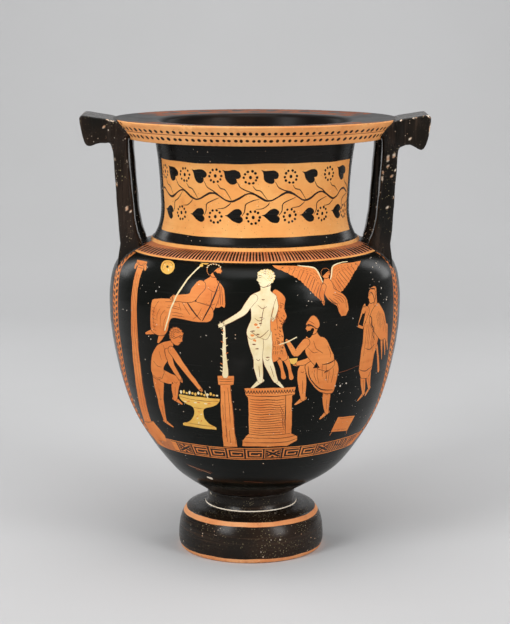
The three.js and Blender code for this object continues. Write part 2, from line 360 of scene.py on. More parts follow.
def wing(pic, lead, trail, feathers, rng):
    """A spread wing between its leading and trailing edges, with scalloped tips, long feathers and rows of small ones."""
    A, B = catmull(lead, 8), catmull(trail, 8)
    m = 60
    A = A[np.linspace(0, len(A) - 1, m).astype(int)]
    B = B[np.linspace(0, len(B) - 1, m).astype(int)]
    f = np.linspace(0, 1, m)
    out = B - A
    L = np.maximum(np.linalg.norm(out, axis=1), 1e-6)[:, None]
    bump = 1.25 * np.abs(np.sin(math.pi * f * feathers))[:, None] - 0.5
    edge = B + out / L * bump
    pic.add(np.vstack([A, edge[::-1]]), CLAY, 0, 0.2, 2.0)
    for k in range(1, feathers):
        i = int((m - 1) * k / feathers)
        j = min(m - 1, i + 1)
        a, b = A[max(0, i - 3)], B[j]
        P = [a + (b - a) * q for q in (0.38, 0.55, 0.75, 0.97)]
        pic.lines([P], 0.62, THIN if k % 2 else LINE, 0.15, 0.5, 2)
    for row, n in ((0.14, 13), (0.26, 12), (0.37, 10)):
        for k in range(n):
            i = int((m - 1) * (k + 0.5 + 0.3 * rng.random()) / n * 0.92)
            c = A[i] + (B[i] - A[i]) * row
            t = A[min(i + 2, m - 1)] - A[max(i - 2, 0)]
            t = t / max(np.linalg.norm(t), 1e-6)
            pic.lines([[tuple(c - t * 1.0), tuple(c + (B[i] - A[i]) / L[i] * 0.8), tuple(c + t * 1.0)]], 0.5, THIN, 0.1, 0.6, 2)


def mantle_figure(pic, x, y, h, face, rng, staff=True):
    """A stock youth wrapped in a mantle, as on the plain side of such pots. y is the ground, h the height to the crown."""
    u = h / 100.0
    X = lambda a: x + face * a * u
    Y = lambda b: y + b * u
    foot(pic, X(-5), Y(4), X(-16 if face < 0 else 9), Y(1), CLAY, 2.5 * u)
    foot(pic, X(4), Y(4), X(18), Y(1), CLAY, 2.5 * u)
    for a in (-5, 4):
        pic.add(chain([(X(a), Y(18), 4.2 * u), (X(a), Y(9), 3.6 * u), (X(a), Y(4), 2.6 * u)], 3, 2), CLAY, 0.5)
    pic.add(chain([(X(1), Y(84), 5 * u), (X(0), Y(79), 9 * u), (X(-1), Y(72), 14 * u), (X(-2), Y(60), 15.5 * u), (X(-1), Y(45), 15 * u), (X(0), Y(30), 13.5 * u), (X(0), Y(18), 13 * u), (X(1), Y(14), 12.5 * u)], 4, 2), CLAY, 0.0)
    pic.add(chain([(X(13), Y(66), 5 * u), (X(20), Y(62), 4.5 * u), (X(22), Y(69), 3.2 * u)], 4, 3), CLAY, 0.6)
    left = [(X(-13), Y(70)), (X(-16), Y(55)), (X(-14), Y(35)), (X(-12), Y(14))]
    right = [(X(10), Y(76)), (X(12), Y(58)), (X(13), Y(36)), (X(12), Y(14))]
    folds(pic, left, right, 6, 0.75, LINE, 0.1, 0.95, rng)
    pic.lines([[(X(-9), Y(80)), (X(2), Y(70)), (X(13), Y(64))], [(X(-13), Y(66)), (X(0), Y(56)), (X(14), Y(50))], [(X(-15), Y(52)), (X(-2), Y(42)), (X(12), Y(38))]], 0.9)
    pic.lines([[(X(-12), Y(17)), (X(0), Y(16)), (X(13), Y(17))]], 1.2)
    head(pic, X(2), Y(91.5), 8.2 * u, face, 0.0, 'black')
    if staff:
        pic.lines([[(X(25), Y(78)), (X(26), Y(45)), (X(27), Y(2))]], 1.6, CLAY, taper=0.9)


def front_scene(pic, rng):
    """The main picture: stock figures and props in the places of the pot's own."""
    # column at the left edge
    pic.add(chain([(-151, 162, 10.2), (-155, 190, 9.0), (-156.5, 222, 7.6), (-158.3, 292, 6.0), (-157.2, 325, 5.4), (-151.2, 353, 5.6)], 6, 1), CLAY)
    pic.add([(-163, 160), (-137, 168), (-125, 158), (-117, 150), (-117, 140), (-150, 137)], CLAY)
    pic.lines([[(-162, 161), (-150, 163), (-138, 167)]], 0.9, LINE)
    pic.add([(-162.5, 362.5), (-161, 358.6), (-140, 358.6), (-140.2, 363)], CLAY, 0, 0.25)
    pic.add([(-157.5, 359.5), (-156, 351), (-144.5, 351), (-143.5, 359.5)], CLAY, 0, 0.2)
    for s, x, y in ((-1, -160.6, 354.6), (1, -141.6, 355.2)):
        pic.add(chain([(x - s * 4, y + 3.2, 1.7), (x, y + 2.0, 2.2), (x + s * 0.8, y - 2.0, 2.0)], 4, 2), CLAY, 0.4, 0.2)
    pic.lines([[(-159, 358.4), (-151, 356.4), (-142.5, 358.6)], [(-155, 353.4), (-145.5, 353.6)]], 0.7, LINE)
    pic.lines([[(-158.5, 340), (-162.5, 300), (-160, 240), (-155, 176)], [(-155.0, 345), (-158.5, 300), (-154, 240), (-149, 176)], [(-151.5, 345), (-155.5, 300), (-149, 240), (-144.5, 180)]], 0.55, THIN)

    # hanging disc
    pic.add(ellipse(-105.5, 360.5, 10.2, 9.6, 0.3, 24), YELLOW, 0.0)
    pic.lines([ellipse(-105.5, 360.5, 7.6, 7.0, 0.3, 20)[:13]], 0.45, THIN)
    for k in range(5):
        pic.add(ellipse(-105.5 + 5 * math.cos(1.3 * k), 360.5 + 4.6 * math.sin(1.3 * k), 1.6, 0.6, 1.3 * k, 8), CLAY if k % 2 else WHITE, 0, 0.3)
    pic.add(ellipse(-105.5, 360.5, 1.8, 1.8), LINE, 0, 0)

    # seated robed figure with a sceptre
    foot(pic, -121, 285, -136, 281, CLAY, 3.2)
    foot(pic, -112, 281, -117, 273, CLAY, 3.2)
    pic.add(catmull([(-43, 348), (-37.5, 344), (-33.8, 337), (-33.2, 327), (-33.6, 318.5), (-37, 319.8), (-40, 317.8), (-45, 319), (-47, 330), (-45, 342)], 4, True), CLAY, 0.0)
    folds(pic, [(-43, 342), (-44, 330), (-44, 320)], [(-36.5, 341), (-35, 330), (-35, 320)], 4, 0.6, THIN)
    pic.add(chain([(-47, 350, 4.2), (-49, 343, 9.6), (-51, 334, 12.0), (-54, 324, 11.8), (-57, 315, 10.0), (-60, 311, 8.0)], 5, 3), CLAY, 0.4)
    lap = catmull([(-126.5, 317), (-121, 321.5), (-104, 323.5), (-88, 325), (-77, 325), (-64, 322), (-54, 320), (-47.5, 316), (-46.5, 309), (-50, 303), (-57, 300.8), (-68, 301), (-84, 302.6), (-96, 303.2), (-101, 298), (-103, 289), (-108, 282.5), (-118, 281), (-127, 285.5), (-128.5, 300)], 3, True)
    pic.add(lap, CLAY, 0.6, step=2.6)
    pic.lines([[(-79, 324), (-74, 317), (-68, 310), (-61, 303)], [(-38.5, 347), (-42.5, 338), (-45.5, 329), (-50.5, 318), (-55, 309), (-59, 302)]], 1.7)
    pic.lines([[(-84, 322), (-79, 315), (-74, 308)], [(-88, 320), (-85, 312)], [(-70, 303.5), (-64, 309), (-60, 316)]], 0.6, THIN)
    folds(pic, [(-116, 322), (-125, 310), (-126, 297), (-122, 284)], [(-97, 309), (-105, 302), (-107, 292), (-106, 283)], 4, 0.6, THIN, rng=rng)
    folds(pic, [(-108, 321), (-96, 322), (-84, 319)], [(-103, 304), (-90, 304.5), (-76, 303)], 5, 0.6, THIN, rng=rng)
    for k in range(7):
        pic.lines([[(-126.5 + 0.3 * k, 312 - 4.2 * k), (-121.5 + 0.3 * k, 311 - 4.2 * k)]], 0.7, LINE if k % 2 else THIN)
    arm(pic, (-61, 341), (-73, 327), (-93, 325), (6.2, 4.8, 3.3))
    pic.lines([[(-52, 338), (-46, 335), (-40, 337)], [(-48, 334), (-49, 318)], [(-55, 322), (-50, 320), (-44, 322)]], 0.7, THIN)
    pic.lines([[(-60, 368), (-76, 349), (-92, 326), (-100, 308), (-107, 288)]], 1.9, WHITE, taper=0.8)
    for a in (0.2, 0.9, 1.6, 2.3):
        pic.add(ellipse(-58.5 + 3.4 * math.cos(a), 369 + 2.6 * math.sin(a), 3.0, 1.2, a, 8), YELLOW, 0, 0)
    pic.add(ellipse(-61, 366.5, 2.2, 2.2), YELLOW, 0, 0)
    head(pic, -45, 360, 8.8, 1, 0.05, 'black', CLAY, beard=True, wreath=True)

    # bending youth
    leg(pic, (-119.5, 234), (-117.5, 205), (-112.6, 173.5), (-101, 167.5), (8.6, 5.0, 2.3))
    leg(pic, (-113, 233.5), (-93.5, 229.5), (-95, 206.5), (-86, 201.5), (7.6, 5.6, 2.5))
    pic.add(chain([(-100, 272, 4.4), (-106.5, 266, 9.0), (-114.5, 257, 11.2), (-119.5, 246, 9.8), (-120, 237, 10.0)], 5, 3), CLAY, 0.5)
    arm(pic, (-104, 263), (-97.5, 247), (-88, 233.5), (4.2, 3.1, 2.1))
    arm(pic, (-98.5, 266), (-83, 247.5), (-63.5, 224.5), (4.5, 3.3, 2.1))
    pic.lines([[(-110, 270), (-107, 262), (-106, 254)], [(-125, 249), (-119, 244.5), (-113, 244)], [(-127, 232), (-121, 229), (-114, 231)], [(-116, 262), (-113, 253)], [(-119, 216), (-117, 200)]], 0.6, THIN)
    pic.lines([[(-57, 221), (-54, 214), (-52, 209)]], 1.3, WHITE)
    head(pic, -91.4, 281.5, 8.9, 1, -0.38, 'curls')

    # footed bowl with coals
    bowl = [tuple(q) for q in catmull([(25.0, 213.6), (24.6, 210.2), (22.0, 206.4), (16.0, 202.8), (8.0, 199.6), (5.6, 195.5), (5.8, 190.0), (8.0, 184.5), (12.5, 179.8), (20.0, 176.4), (21.2, 175.0), (21.0, 172.8)], 3)]
    cx = -64.5
    pic.add([(cx - r * 1.0, y) for r, y in bowl] + [(cx + r, y - 0.06 * r) for r, y in bowl[::-1]], YELLOW)
    pic.lines([[(cx - 24, 210.6), (cx, 208.4), (cx + 24, 209.0)], [(cx - 6, 198.6), (cx + 6, 198.2)], [(cx - 18, 177.6), (cx, 176.4), (cx + 19, 176.0)]], 0.7, THIN)
    for q in range(9):
        a = cx - 17 + 34 * q / 8
        pic.add(ellipse(a, 205.2 + 0.8 * math.sin(q * 2.1), 2.0, 0.8, 0.4 * math.sin(q), 8), (WHITE, CLAY, YELLOW)[q % 3], 0, 0.2)
    for q in range(6):
        pic.add(ellipse(cx + 3.0 * math.sin(q * 1.9), 194 - 3.0 * q, 1.6, 0.6, 0.3 * q, 8), (CLAY, WHITE)[q % 2], 0, 0.2)
    for k in range(13):
        a = cx - 22 + 44 * k / 12
        pic.add(ellipse(a, 215.5 + 2.2 * rng.random(), 1.5, 1.0 + 1.4 * rng.random(), 0.5 * (rng.random() - 0.5), 8), YELLOW if k % 3 else WHITE, 0, 0)
        pic.add(ellipse(a + 1.7, 214.6, 0.8, 1.1, 0, 6), LINE, 0, 0)

    # pillar with a knotted white stick on it
    pic.add([(-41.5, 240), (-23, 241), (-24, 230.5), (-27.5, 229.5), (-24.5, 190), (-20, 148), (-35.5, 148), (-38, 190), (-38.5, 229.5), (-41, 230)], CLAY)
    pic.lines([[(-40, 236.5), (-24, 237.2)], [(-40, 233.8), (-24, 234.5)], [(-39, 230.6), (-25, 231)]], 0.9)
    pic.lines([[(-27, 228), (-24, 190), (-21.5, 152)]], 0.8, THIN)
    pic.lines([[(-34, 222), (-33, 190), (-31, 155)], [(-30, 226), (-28.5, 200), (-27.5, 182)], [(-36, 205), (-35, 184)], [(-29, 172), (-27.5, 154)], [(-33, 178), (-32, 162)]], 0.55, THIN)
    pic.add(chain([(-34.2, 297, 1.2), (-34, 284, 1.5), (-33.8, 268, 2.0), (-33, 254, 2.7), (-33, 241, 3.3)], 5, 2), WHITE, 0.3, edge_paint=THIN)
    for k in range(12):
        y = 292 - 4.2 * k
        s = -1 if (k % 2 or k % 5 == 0) else 1
        w = 1.4 + 0.16 * k
        pic.add(chain([(-33.8 + s * (w - 0.5), y, 0.55), (-33.8 + s * (w + 1.7), y + 1.3, 0.3)], 2, 1), WHITE if k % 3 else CLAY, 0, 0.1)

    # spotted skin hanging beside the statue
    skin_ = [(19, 335), (23, 338), (29.5, 334), (33.6, 327), (32, 317), (34.8, 308), (31.4, 302), (29.8, 296), (31.5, 289), (31.2, 281), (33.4, 271), (36.2, 262), (31.5, 258.4), (27.5, 260.6), (22, 257.6), (17, 259), (15, 275), (15, 290), (16, 305), (18, 320)]
    for a in ((26, 263, 29.5, 250, 31.5, 239), (34, 262, 38.4, 249, 40.6, 238)):
        pic.add(chain([(a[0], a[1], 3.6), (a[2], a[3], 1.7), (a[4], a[5], 2.7)], 4, 3), CLAY, 0.4)
    pic.add(catmull(skin_, 3, True), CLAY, 0.5)
    for k in range(46):
        x, y = 20 + 12 * rng.random(), 262 + 66 * rng.random()
        pic.lines([[(x, y), (x + 0.9, y - 1.3), (x + 2.0, y - 1.0)]], 0.7, THIN if y > 282 else LINE)
    for y0, n in ((281, 7), (275.5, 7), (270, 7)):
        pic.lines([[(18.5 + 2.0 * k, y0), (18.7 + 2.0 * k, y0 - 3.8)] for k in range(n)], 0.95, LINE if y0 < 280 else THIN)
    pic.lines([[(22, 334), (25, 322), (24, 308), (25, 294)]], 0.7, THIN)

    # white statue
    leg(pic, (10.8, 290), (13.5, 262), (23, 235), (31.5, 226.3), (7.6, 5.0, 2.5), WHITE, 0.4)
    leg(pic, (-0.3, 290), (3.2, 262), (6, 235), (-4, 226.3), (8.4, 5.3, 2.6), WHITE, 0.4)
    arm(pic, (20.5, 329), (23.2, 318), (20.6, 309), (3.0, 2.3, 2.1), WHITE, 0.4)
    pic.add(catmull([(6.5, 344), (6.4, 338), (1.5, 335), (-4.0, 332.2), (-6.0, 326), (-4.2, 315), (-4.2, 306), (-7.4, 298), (-8.8, 289), (-4, 283.5), (4, 286), (12, 283.5), (16.5, 289), (16.6, 297), (16.8, 306), (19.4, 316), (21.4, 325), (23.4, 331), (19, 334.6), (16.4, 337.6), (16.4, 344)], 3, True), WHITE, 0.4, step=2.4, edge_paint=THIN)
    arm(pic, (-1.4, 329), (-14.4, 312.5), (-32, 301.8), (4.3, 3.2, 2.1), WHITE, 0.4)
    pic.add(ellipse(-37.6, 298.6, 3.3, 2.3, 0.4), WHITE, 0.3, edge_paint=THIN)
    pic.lines([[(-37, 297), (-40.5, 295.5)], [(-35.5, 296.5), (-38, 294.5)]], 0.9, WHITE)
    pic.lines([[(3, 321), (8, 317.5), (13, 320)], [(10, 320), (8, 310), (6.5, 298)], [(0, 307), (5, 304), (10, 307)], [(-5, 293), (1, 288), (5, 286), (10, 289), (15, 294)]], 0.75, THIN)
    for x, y, a, b in ((1, 300, 0.2, 1.5), (3.5, 296.5, 1.2, 1.2), (-3, 288, 0.9, 1.6), (0, 282, 2.0, 1.3), (6, 301, 0.4, 0.8), (2, 273, 0.6, 0.7), (14, 263, 0.4, 0.6), (-2, 293, 0.1, 0.9), (3, 289, 1.4, 0.7), (9, 327, 0.5, 0.6), (7, 308, 1.0, 0.6), (-1, 278, 0.3, 0.8)):
        pic.add(catmull([(x + 1.9 * math.cos(a + q) * (0.8 + 0.5 * rng.random()), y + b * math.sin(a + q) * (0.7 + 0.6 * rng.random())) for q in np.linspace(0, 2 * math.pi, 8, endpoint=False)], 2, True), CLAY if b > 1 else THIN, 0, 0.3, 1.5)
    head(pic, 11, 351, 9.6, -1, 0.12, 'curls', WHITE)
    pic.lines([[(10, 341), (13, 342), (16, 345)]], 0.6, THIN)

    # square base under the statue
    pic.add([(-11.5, 226.5), (-10, 218), (-7.5, 215), (-6.5, 168), (-10, 164), (-13.5, 158), (-14, 149.5), (36, 148.5), (48.5, 156), (48.5, 162), (41.5, 166), (41.5, 216), (44.5, 218), (45.5, 226.5)], CLAY)
    pic.lines([[(-9.5, 217.6), (16, 216.4), (44, 217.4)]], 0.9)
    pic.lines([[(-10.5 + 3.1 * k, 223.6), (-8.9 + 3.1 * k, 219.8), (-7.4 + 3.1 * k, 223.6)] for k in range(18)], 0.95, LINE, 0.1, 0.8, 2)
    pic.lines([[(34.5, 217), (34, 190), (34.5, 167)]], 1.1)
    for k in range(15):
        y = 212 - 3.05 * k
        bend = 4.5 * math.sin(0.5 * k + 0.4) * (1 - k / 18)
        pic.lines([[(-5.5, y + 1.2), (4 + 2 * rng.random(), y - 0.4), (16, y + 0.12 * bend), (25, y - 0.35 * bend), (33, y - 0.2 * bend + 0.6)]], 0.75 if k % 2 else 0.95, THIN if k % 3 else LINE)
    pic.lines([[(27 + 1.5 * k, 205 - 6 * k), (31, 198 - 6 * k), (33, 190 - 6 * k)] for k in range(4)], 0.6, THIN)
    pic.lines([[(-7, 167), (15, 165.5), (42, 166.5)], [(-12, 162.5), (15, 161), (36, 161), (48, 164)], [(-14, 155.5), (15, 154.3), (36, 154.5), (49, 159.5)]], 0.9)

    # winged figure
    wing(pic, [(77, 342), (73, 355), (66, 362), (54, 365.5), (38, 367.5), (19, 368.8)], [(75, 324), (67, 331), (59, 339), (51, 347), (39, 355.5), (22, 365)], 13, rng)
    wing(pic, [(86, 342), (88, 354), (91, 362), (102, 365), (119, 364.5), (137, 364.8)], [(90, 329), (100, 331), (108, 337), (115, 344), (122, 351.5), (135, 362)], 12, rng)
    pic.lines([[(48, 367.5), (58, 365), (68, 362), (73, 354), (77, 344)], [(114, 366.5), (102, 366.5), (91.5, 362.5), (89, 352), (86.5, 344)]], 1.7, WHITE, taper=0.5)
    pic.add(chain([(82.5, 347, 3.6), (83.5, 340, 6.4), (86, 332, 6.6), (93, 326.4, 7.2), (101, 321, 7.4), (104.2, 314, 6.9), (104.6, 310, 6.6)], 5, 2), CLAY, 0.5)
    arm(pic, (78.5, 339), (76, 330), (77.5, 324), (3.0, 2.4, 1.7))
    folds(pic, [(88, 333), (97, 331), (108, 324), (110.5, 308)], [(86, 325), (93, 319), (97.5, 313), (98.6, 307)], 5, 0.55, THIN, rng=rng)
    pic.lines([[(85, 326), (91, 320), (97, 318)]], 0.9)
    head(pic, 81.6, 354, 5.8, 1, -0.1, 'black')

    # crouching craftsman in a cap
    leg(pic, (80, 232), (84, 216), (85, 190), (76.5, 183), (7.8, 5.2, 2.5))
    leg(pic, (66, 250), (53, 246), (54.5, 211), (45.5, 205), (8.4, 5.5, 2.6))
    arm(pic, (66, 268), (61.5, 257.5), (48, 254.5), (5.0, 3.8, 2.5))
    pic.add(catmull([(57, 251), (66, 257), (80, 259), (95, 254), (99, 243), (96, 228), (92, 215.5), (78, 217), (67, 226), (59.5, 239)], 5, True), CLAY, 0.7)
    pic.add(chain([(66, 288, 5), (66, 281, 10.5), (70, 272, 14.5), (76, 262, 13.6), (82, 254, 12.5)], 5, 2), CLAY, 0.5)
    pic.lines([[(78, 251), (86, 251.5), (97, 256)], [(60, 250), (62, 238), (69, 227), (79, 220), (92, 218.5)]], 1.3)
    pic.add([(65.5, 247.5), (74, 247.5), (70, 254.5)], SLIP, 0, 0.15)
    pic.lines([[(80, 240), (83, 242.5), (86, 243)], [(83, 237), (83, 231)]], 1.3)
    folds(pic, [(66, 252), (64, 240), (70, 228)], [(93, 252), (95, 238), (90, 221)], 6, 0.55, THIN, rng=rng)
    pic.lines([[(66, 279), (70, 270), (78, 264)], [(60, 272), (66, 266), (72, 266)], [(84, 272), (88, 264), (88, 258)]], 0.7, THIN)
    arm(pic, (57, 278), (45.2, 266.3), (37.5, 278), (4.8, 3.6, 2.4))
    pic.lines([[(27, 277.5), (36, 280), (46, 284.5)]], 1.4, WHITE, taper=0.8)
    pic.add([(37.5, 260.5), (47.5, 261), (46.5, 256), (43, 253.5), (39.5, 255)], YELLOW, 0.3, 0.15)
    head(pic, 64.8, 295, 8.4, -1, 0.08, 'black', CLAY, beard=True, cap=True)

    # standing woman in a cloak
    leg(pic, (148, 240), (150, 230), (154, 210), (147, 202), (6.0, 4.6, 2.2))
    leg(pic, (140, 246), (139, 232), (143, 205), (133, 198), (6.4, 4.8, 2.3))
    pic.add(chain([(163, 262, 1.7), (168, 246, 1.9), (173, 229, 2.3)], 4, 2), CLAY)
    for x0, x1, y1 in ((170, 178, 243), (177, 186, 247), (184, 193, 252)):
        pic.add(chain([(x0, 282, 3.4), (0.5 * (x0 + x1), 264, 2.3), (x1, y1, 0.6)], 5, 2), CLAY, 0.4)
    pic.add(chain([(152, 314, 5.2), (151, 307, 11), (152, 298, 15.6), (152, 284, 16.0), (149, 268, 14.4), (145, 252, 12.8), (143, 236, 12.4)], 5, 2), CLAY, 0.5)
    pic.add(catmull([(160, 312), (172, 304), (181, 290), (190, 262), (181, 268), (172, 267), (160, 276), (150, 286), (146, 298)], 5, True), CLAY, 0.6)
    folds(pic, [(141, 296), (138, 276), (134, 242)], [(158, 290), (158, 268), (154, 240)], 6, 0.55, THIN, rng=rng)
    folds(pic, [(154, 306), (160, 292), (164, 276)], [(171, 303), (181, 287), (187, 267)], 7, 0.55, THIN, rng=rng)
    pic.lines([[(146, 300), (150, 296), (150, 289), (154, 284), (153, 276), (157, 270)]], 1.7)
    pic.lines([[(131, 238), (143, 234), (155, 238)], [(140, 262), (149, 260), (158, 265)]], 1.0)
    pic.add([(134.5, 303), (138.5, 305), (139.5, 293), (136, 289)], SLIP, 0, 0.15)
    arm(pic, (140, 306), (130.5, 289), (135.5, 308), (5.2, 4.6, 3.0))
    pic.add(catmull([(147, 330), (158, 331), (159, 322), (160, 313), (155, 309), (152, 316), (147, 324)], 3, True), CLAY, 0.5)
    head(pic, 150.5, 321.5, 7.9, -1, 0.05, 'none', CLAY)
    pic.lines([[(144.5, 326.5), (150, 324.5), (154, 319), (155.5, 312)], [(147, 329.5), (153, 329), (158, 329.5)]], 1.2)
    pic.lines([[(155, 325), (157.5, 318), (158, 313)]], 0.7, THIN)

    # leaning tablet
    pic.add([(102, 181), (131, 177.5), (120, 157.5), (93, 161.5)], CLAY, 0, 0.2)
    pic.lines([[(105, 178.5), (127, 175.8)], [(97, 163.6), (118, 160.6)]], 0.6, THIN)
    pic.lines([[(94, 161), (92, 156.5)], [(119, 157), (119.5, 153)]], 1.3, CLAY)


def back_scene(pic, half, rng):
    """The plain side: three mantled youths between the same frames. half is the distance to the back meridian."""
    for k, (x, face, h) in enumerate(((-112, 1, 168), (0, -1, 172), (108, -1, 166))):
        mantle_figure(pic, half + x * 0.98, 152, h, face, rng, staff=(k != 1))


def frame_angle(v):
    """Where the picture's side frames run, as an angle from the front, by height along the wall."""
    return np.radians(np.interp(v, [128, 138, 154, 175, 200, 225, 252, 282, 311, 327, 336, 349, 360, 368], [58, 63, 70.5, 72.8, 72.2, 70.8, 69.6, 69.8, 69.8, 70.6, 71.6, 73.0, 72.8, 72.0]))


def body_r(v):
    return np.interp(v, BODY_V, BODY_CURVE[:, 0])


def neck_r(v):
    return np.interp(v, NECK_V, NECK_CURVE[:, 0])


def net_frame(pic, side, base, rng):
    """A reserved strip with two rows of slanting leaves, up the side of a picture. base is the picture's middle angle."""
    vs = np.linspace(127.8, SEAM_V, 70)
    push = 0.042 if side > 0 else 0.0
    a = frame_angle(vs) + push
    width_of = lambda v: np.interp(v, [127, 150, 200, 250, 300, 330, 350, 371], [7.5, 9.0, 9.6, 9.8, 10.6, 10.4, 9.2, 8.4])
    half = width_of(vs)
    x = side * a * body_r(vs)
    off = base * body_r(vs)
    pic.layers.append((np.vstack([np.c_[off + x - half, vs], np.c_[off + x + half, vs][::-1]]), CLAY))
    v = 148.0
    while v < SEAM_V - 3:
        xa = side * (frame_angle(v) + push) * body_r(v) + base * body_r(v)
        h = float(width_of(v))
        for s in (-1, 1):
            cx = xa + s * h * 0.46
            cv = v + (1.55 if s > 0 else -1.55)
            P = chain([(cx - s * 0.32 * h, cv - 1.5, 0.6), (cx, cv, 2.25), (cx + s * 0.32 * h, cv + 1.7, 0.7)], 4, 2)
            pic.add(P, LINE if rng.random() < 0.85 else THIN, 0, 0.15, 2.0)
        v += 6.5 + 0.6 * rng.random()
    for s in (-1, 1):
        pic.layers.append((np.vstack([np.c_[off + x + s * (half - 1.4) - 0.3, vs], np.c_[off + x + s * (half - 1.4) + 0.3, vs][::-1]]), THIN))


def band(lo, hi, R, paint, waver=0.25, phase=0.0):
    """A line or band all the way round, drawn on the wheel."""
    n = 260
    u = np.linspace(-math.pi * R, math.pi * R, n)
    t = u / R
    w = waver * (np.sin(3 * t + phase) + 0.6 * np.sin(8 * t + 1.7 * phase) + 0.4 * np.sin(21 * t + 2.3 * phase))
    w2 = waver * (np.sin(2 * t + 1.3 + phase) + 0.6 * np.sin(9 * t + 0.4 + phase) + 0.4 * np.sin(19 * t - phase))
    return np.vstack([np.c_[u, lo + w], np.c_[u, hi + w2][::-1]]), paint


# ---------------------------------------------------------------------------
# Wheel-made pieces
# ---------------------------------------------------------------------------

def thinned(P, tol=0.13, reach=10.0):
    """An outline without the points that lie on the line between those kept."""
    n = len(P)
    if n < 8:
        return P
    keep, i = [0], 0
    while i < n - 1:
        j = i + 1
        while j + 1 < n and j - i < 24:
            a, d = P[i], P[j + 1] - P[i]
            L = math.hypot(*d)
            if L > reach or L < 1e-6:
                break
            off = (P[i + 1:j + 1, 0] - a[0]) * d[1] - (P[i + 1:j + 1, 1] - a[1]) * d[0]
            if np.abs(off).max() > tol * L:
                break
            j += 1
        keep.append(j)
        i = j
    return P[keep]


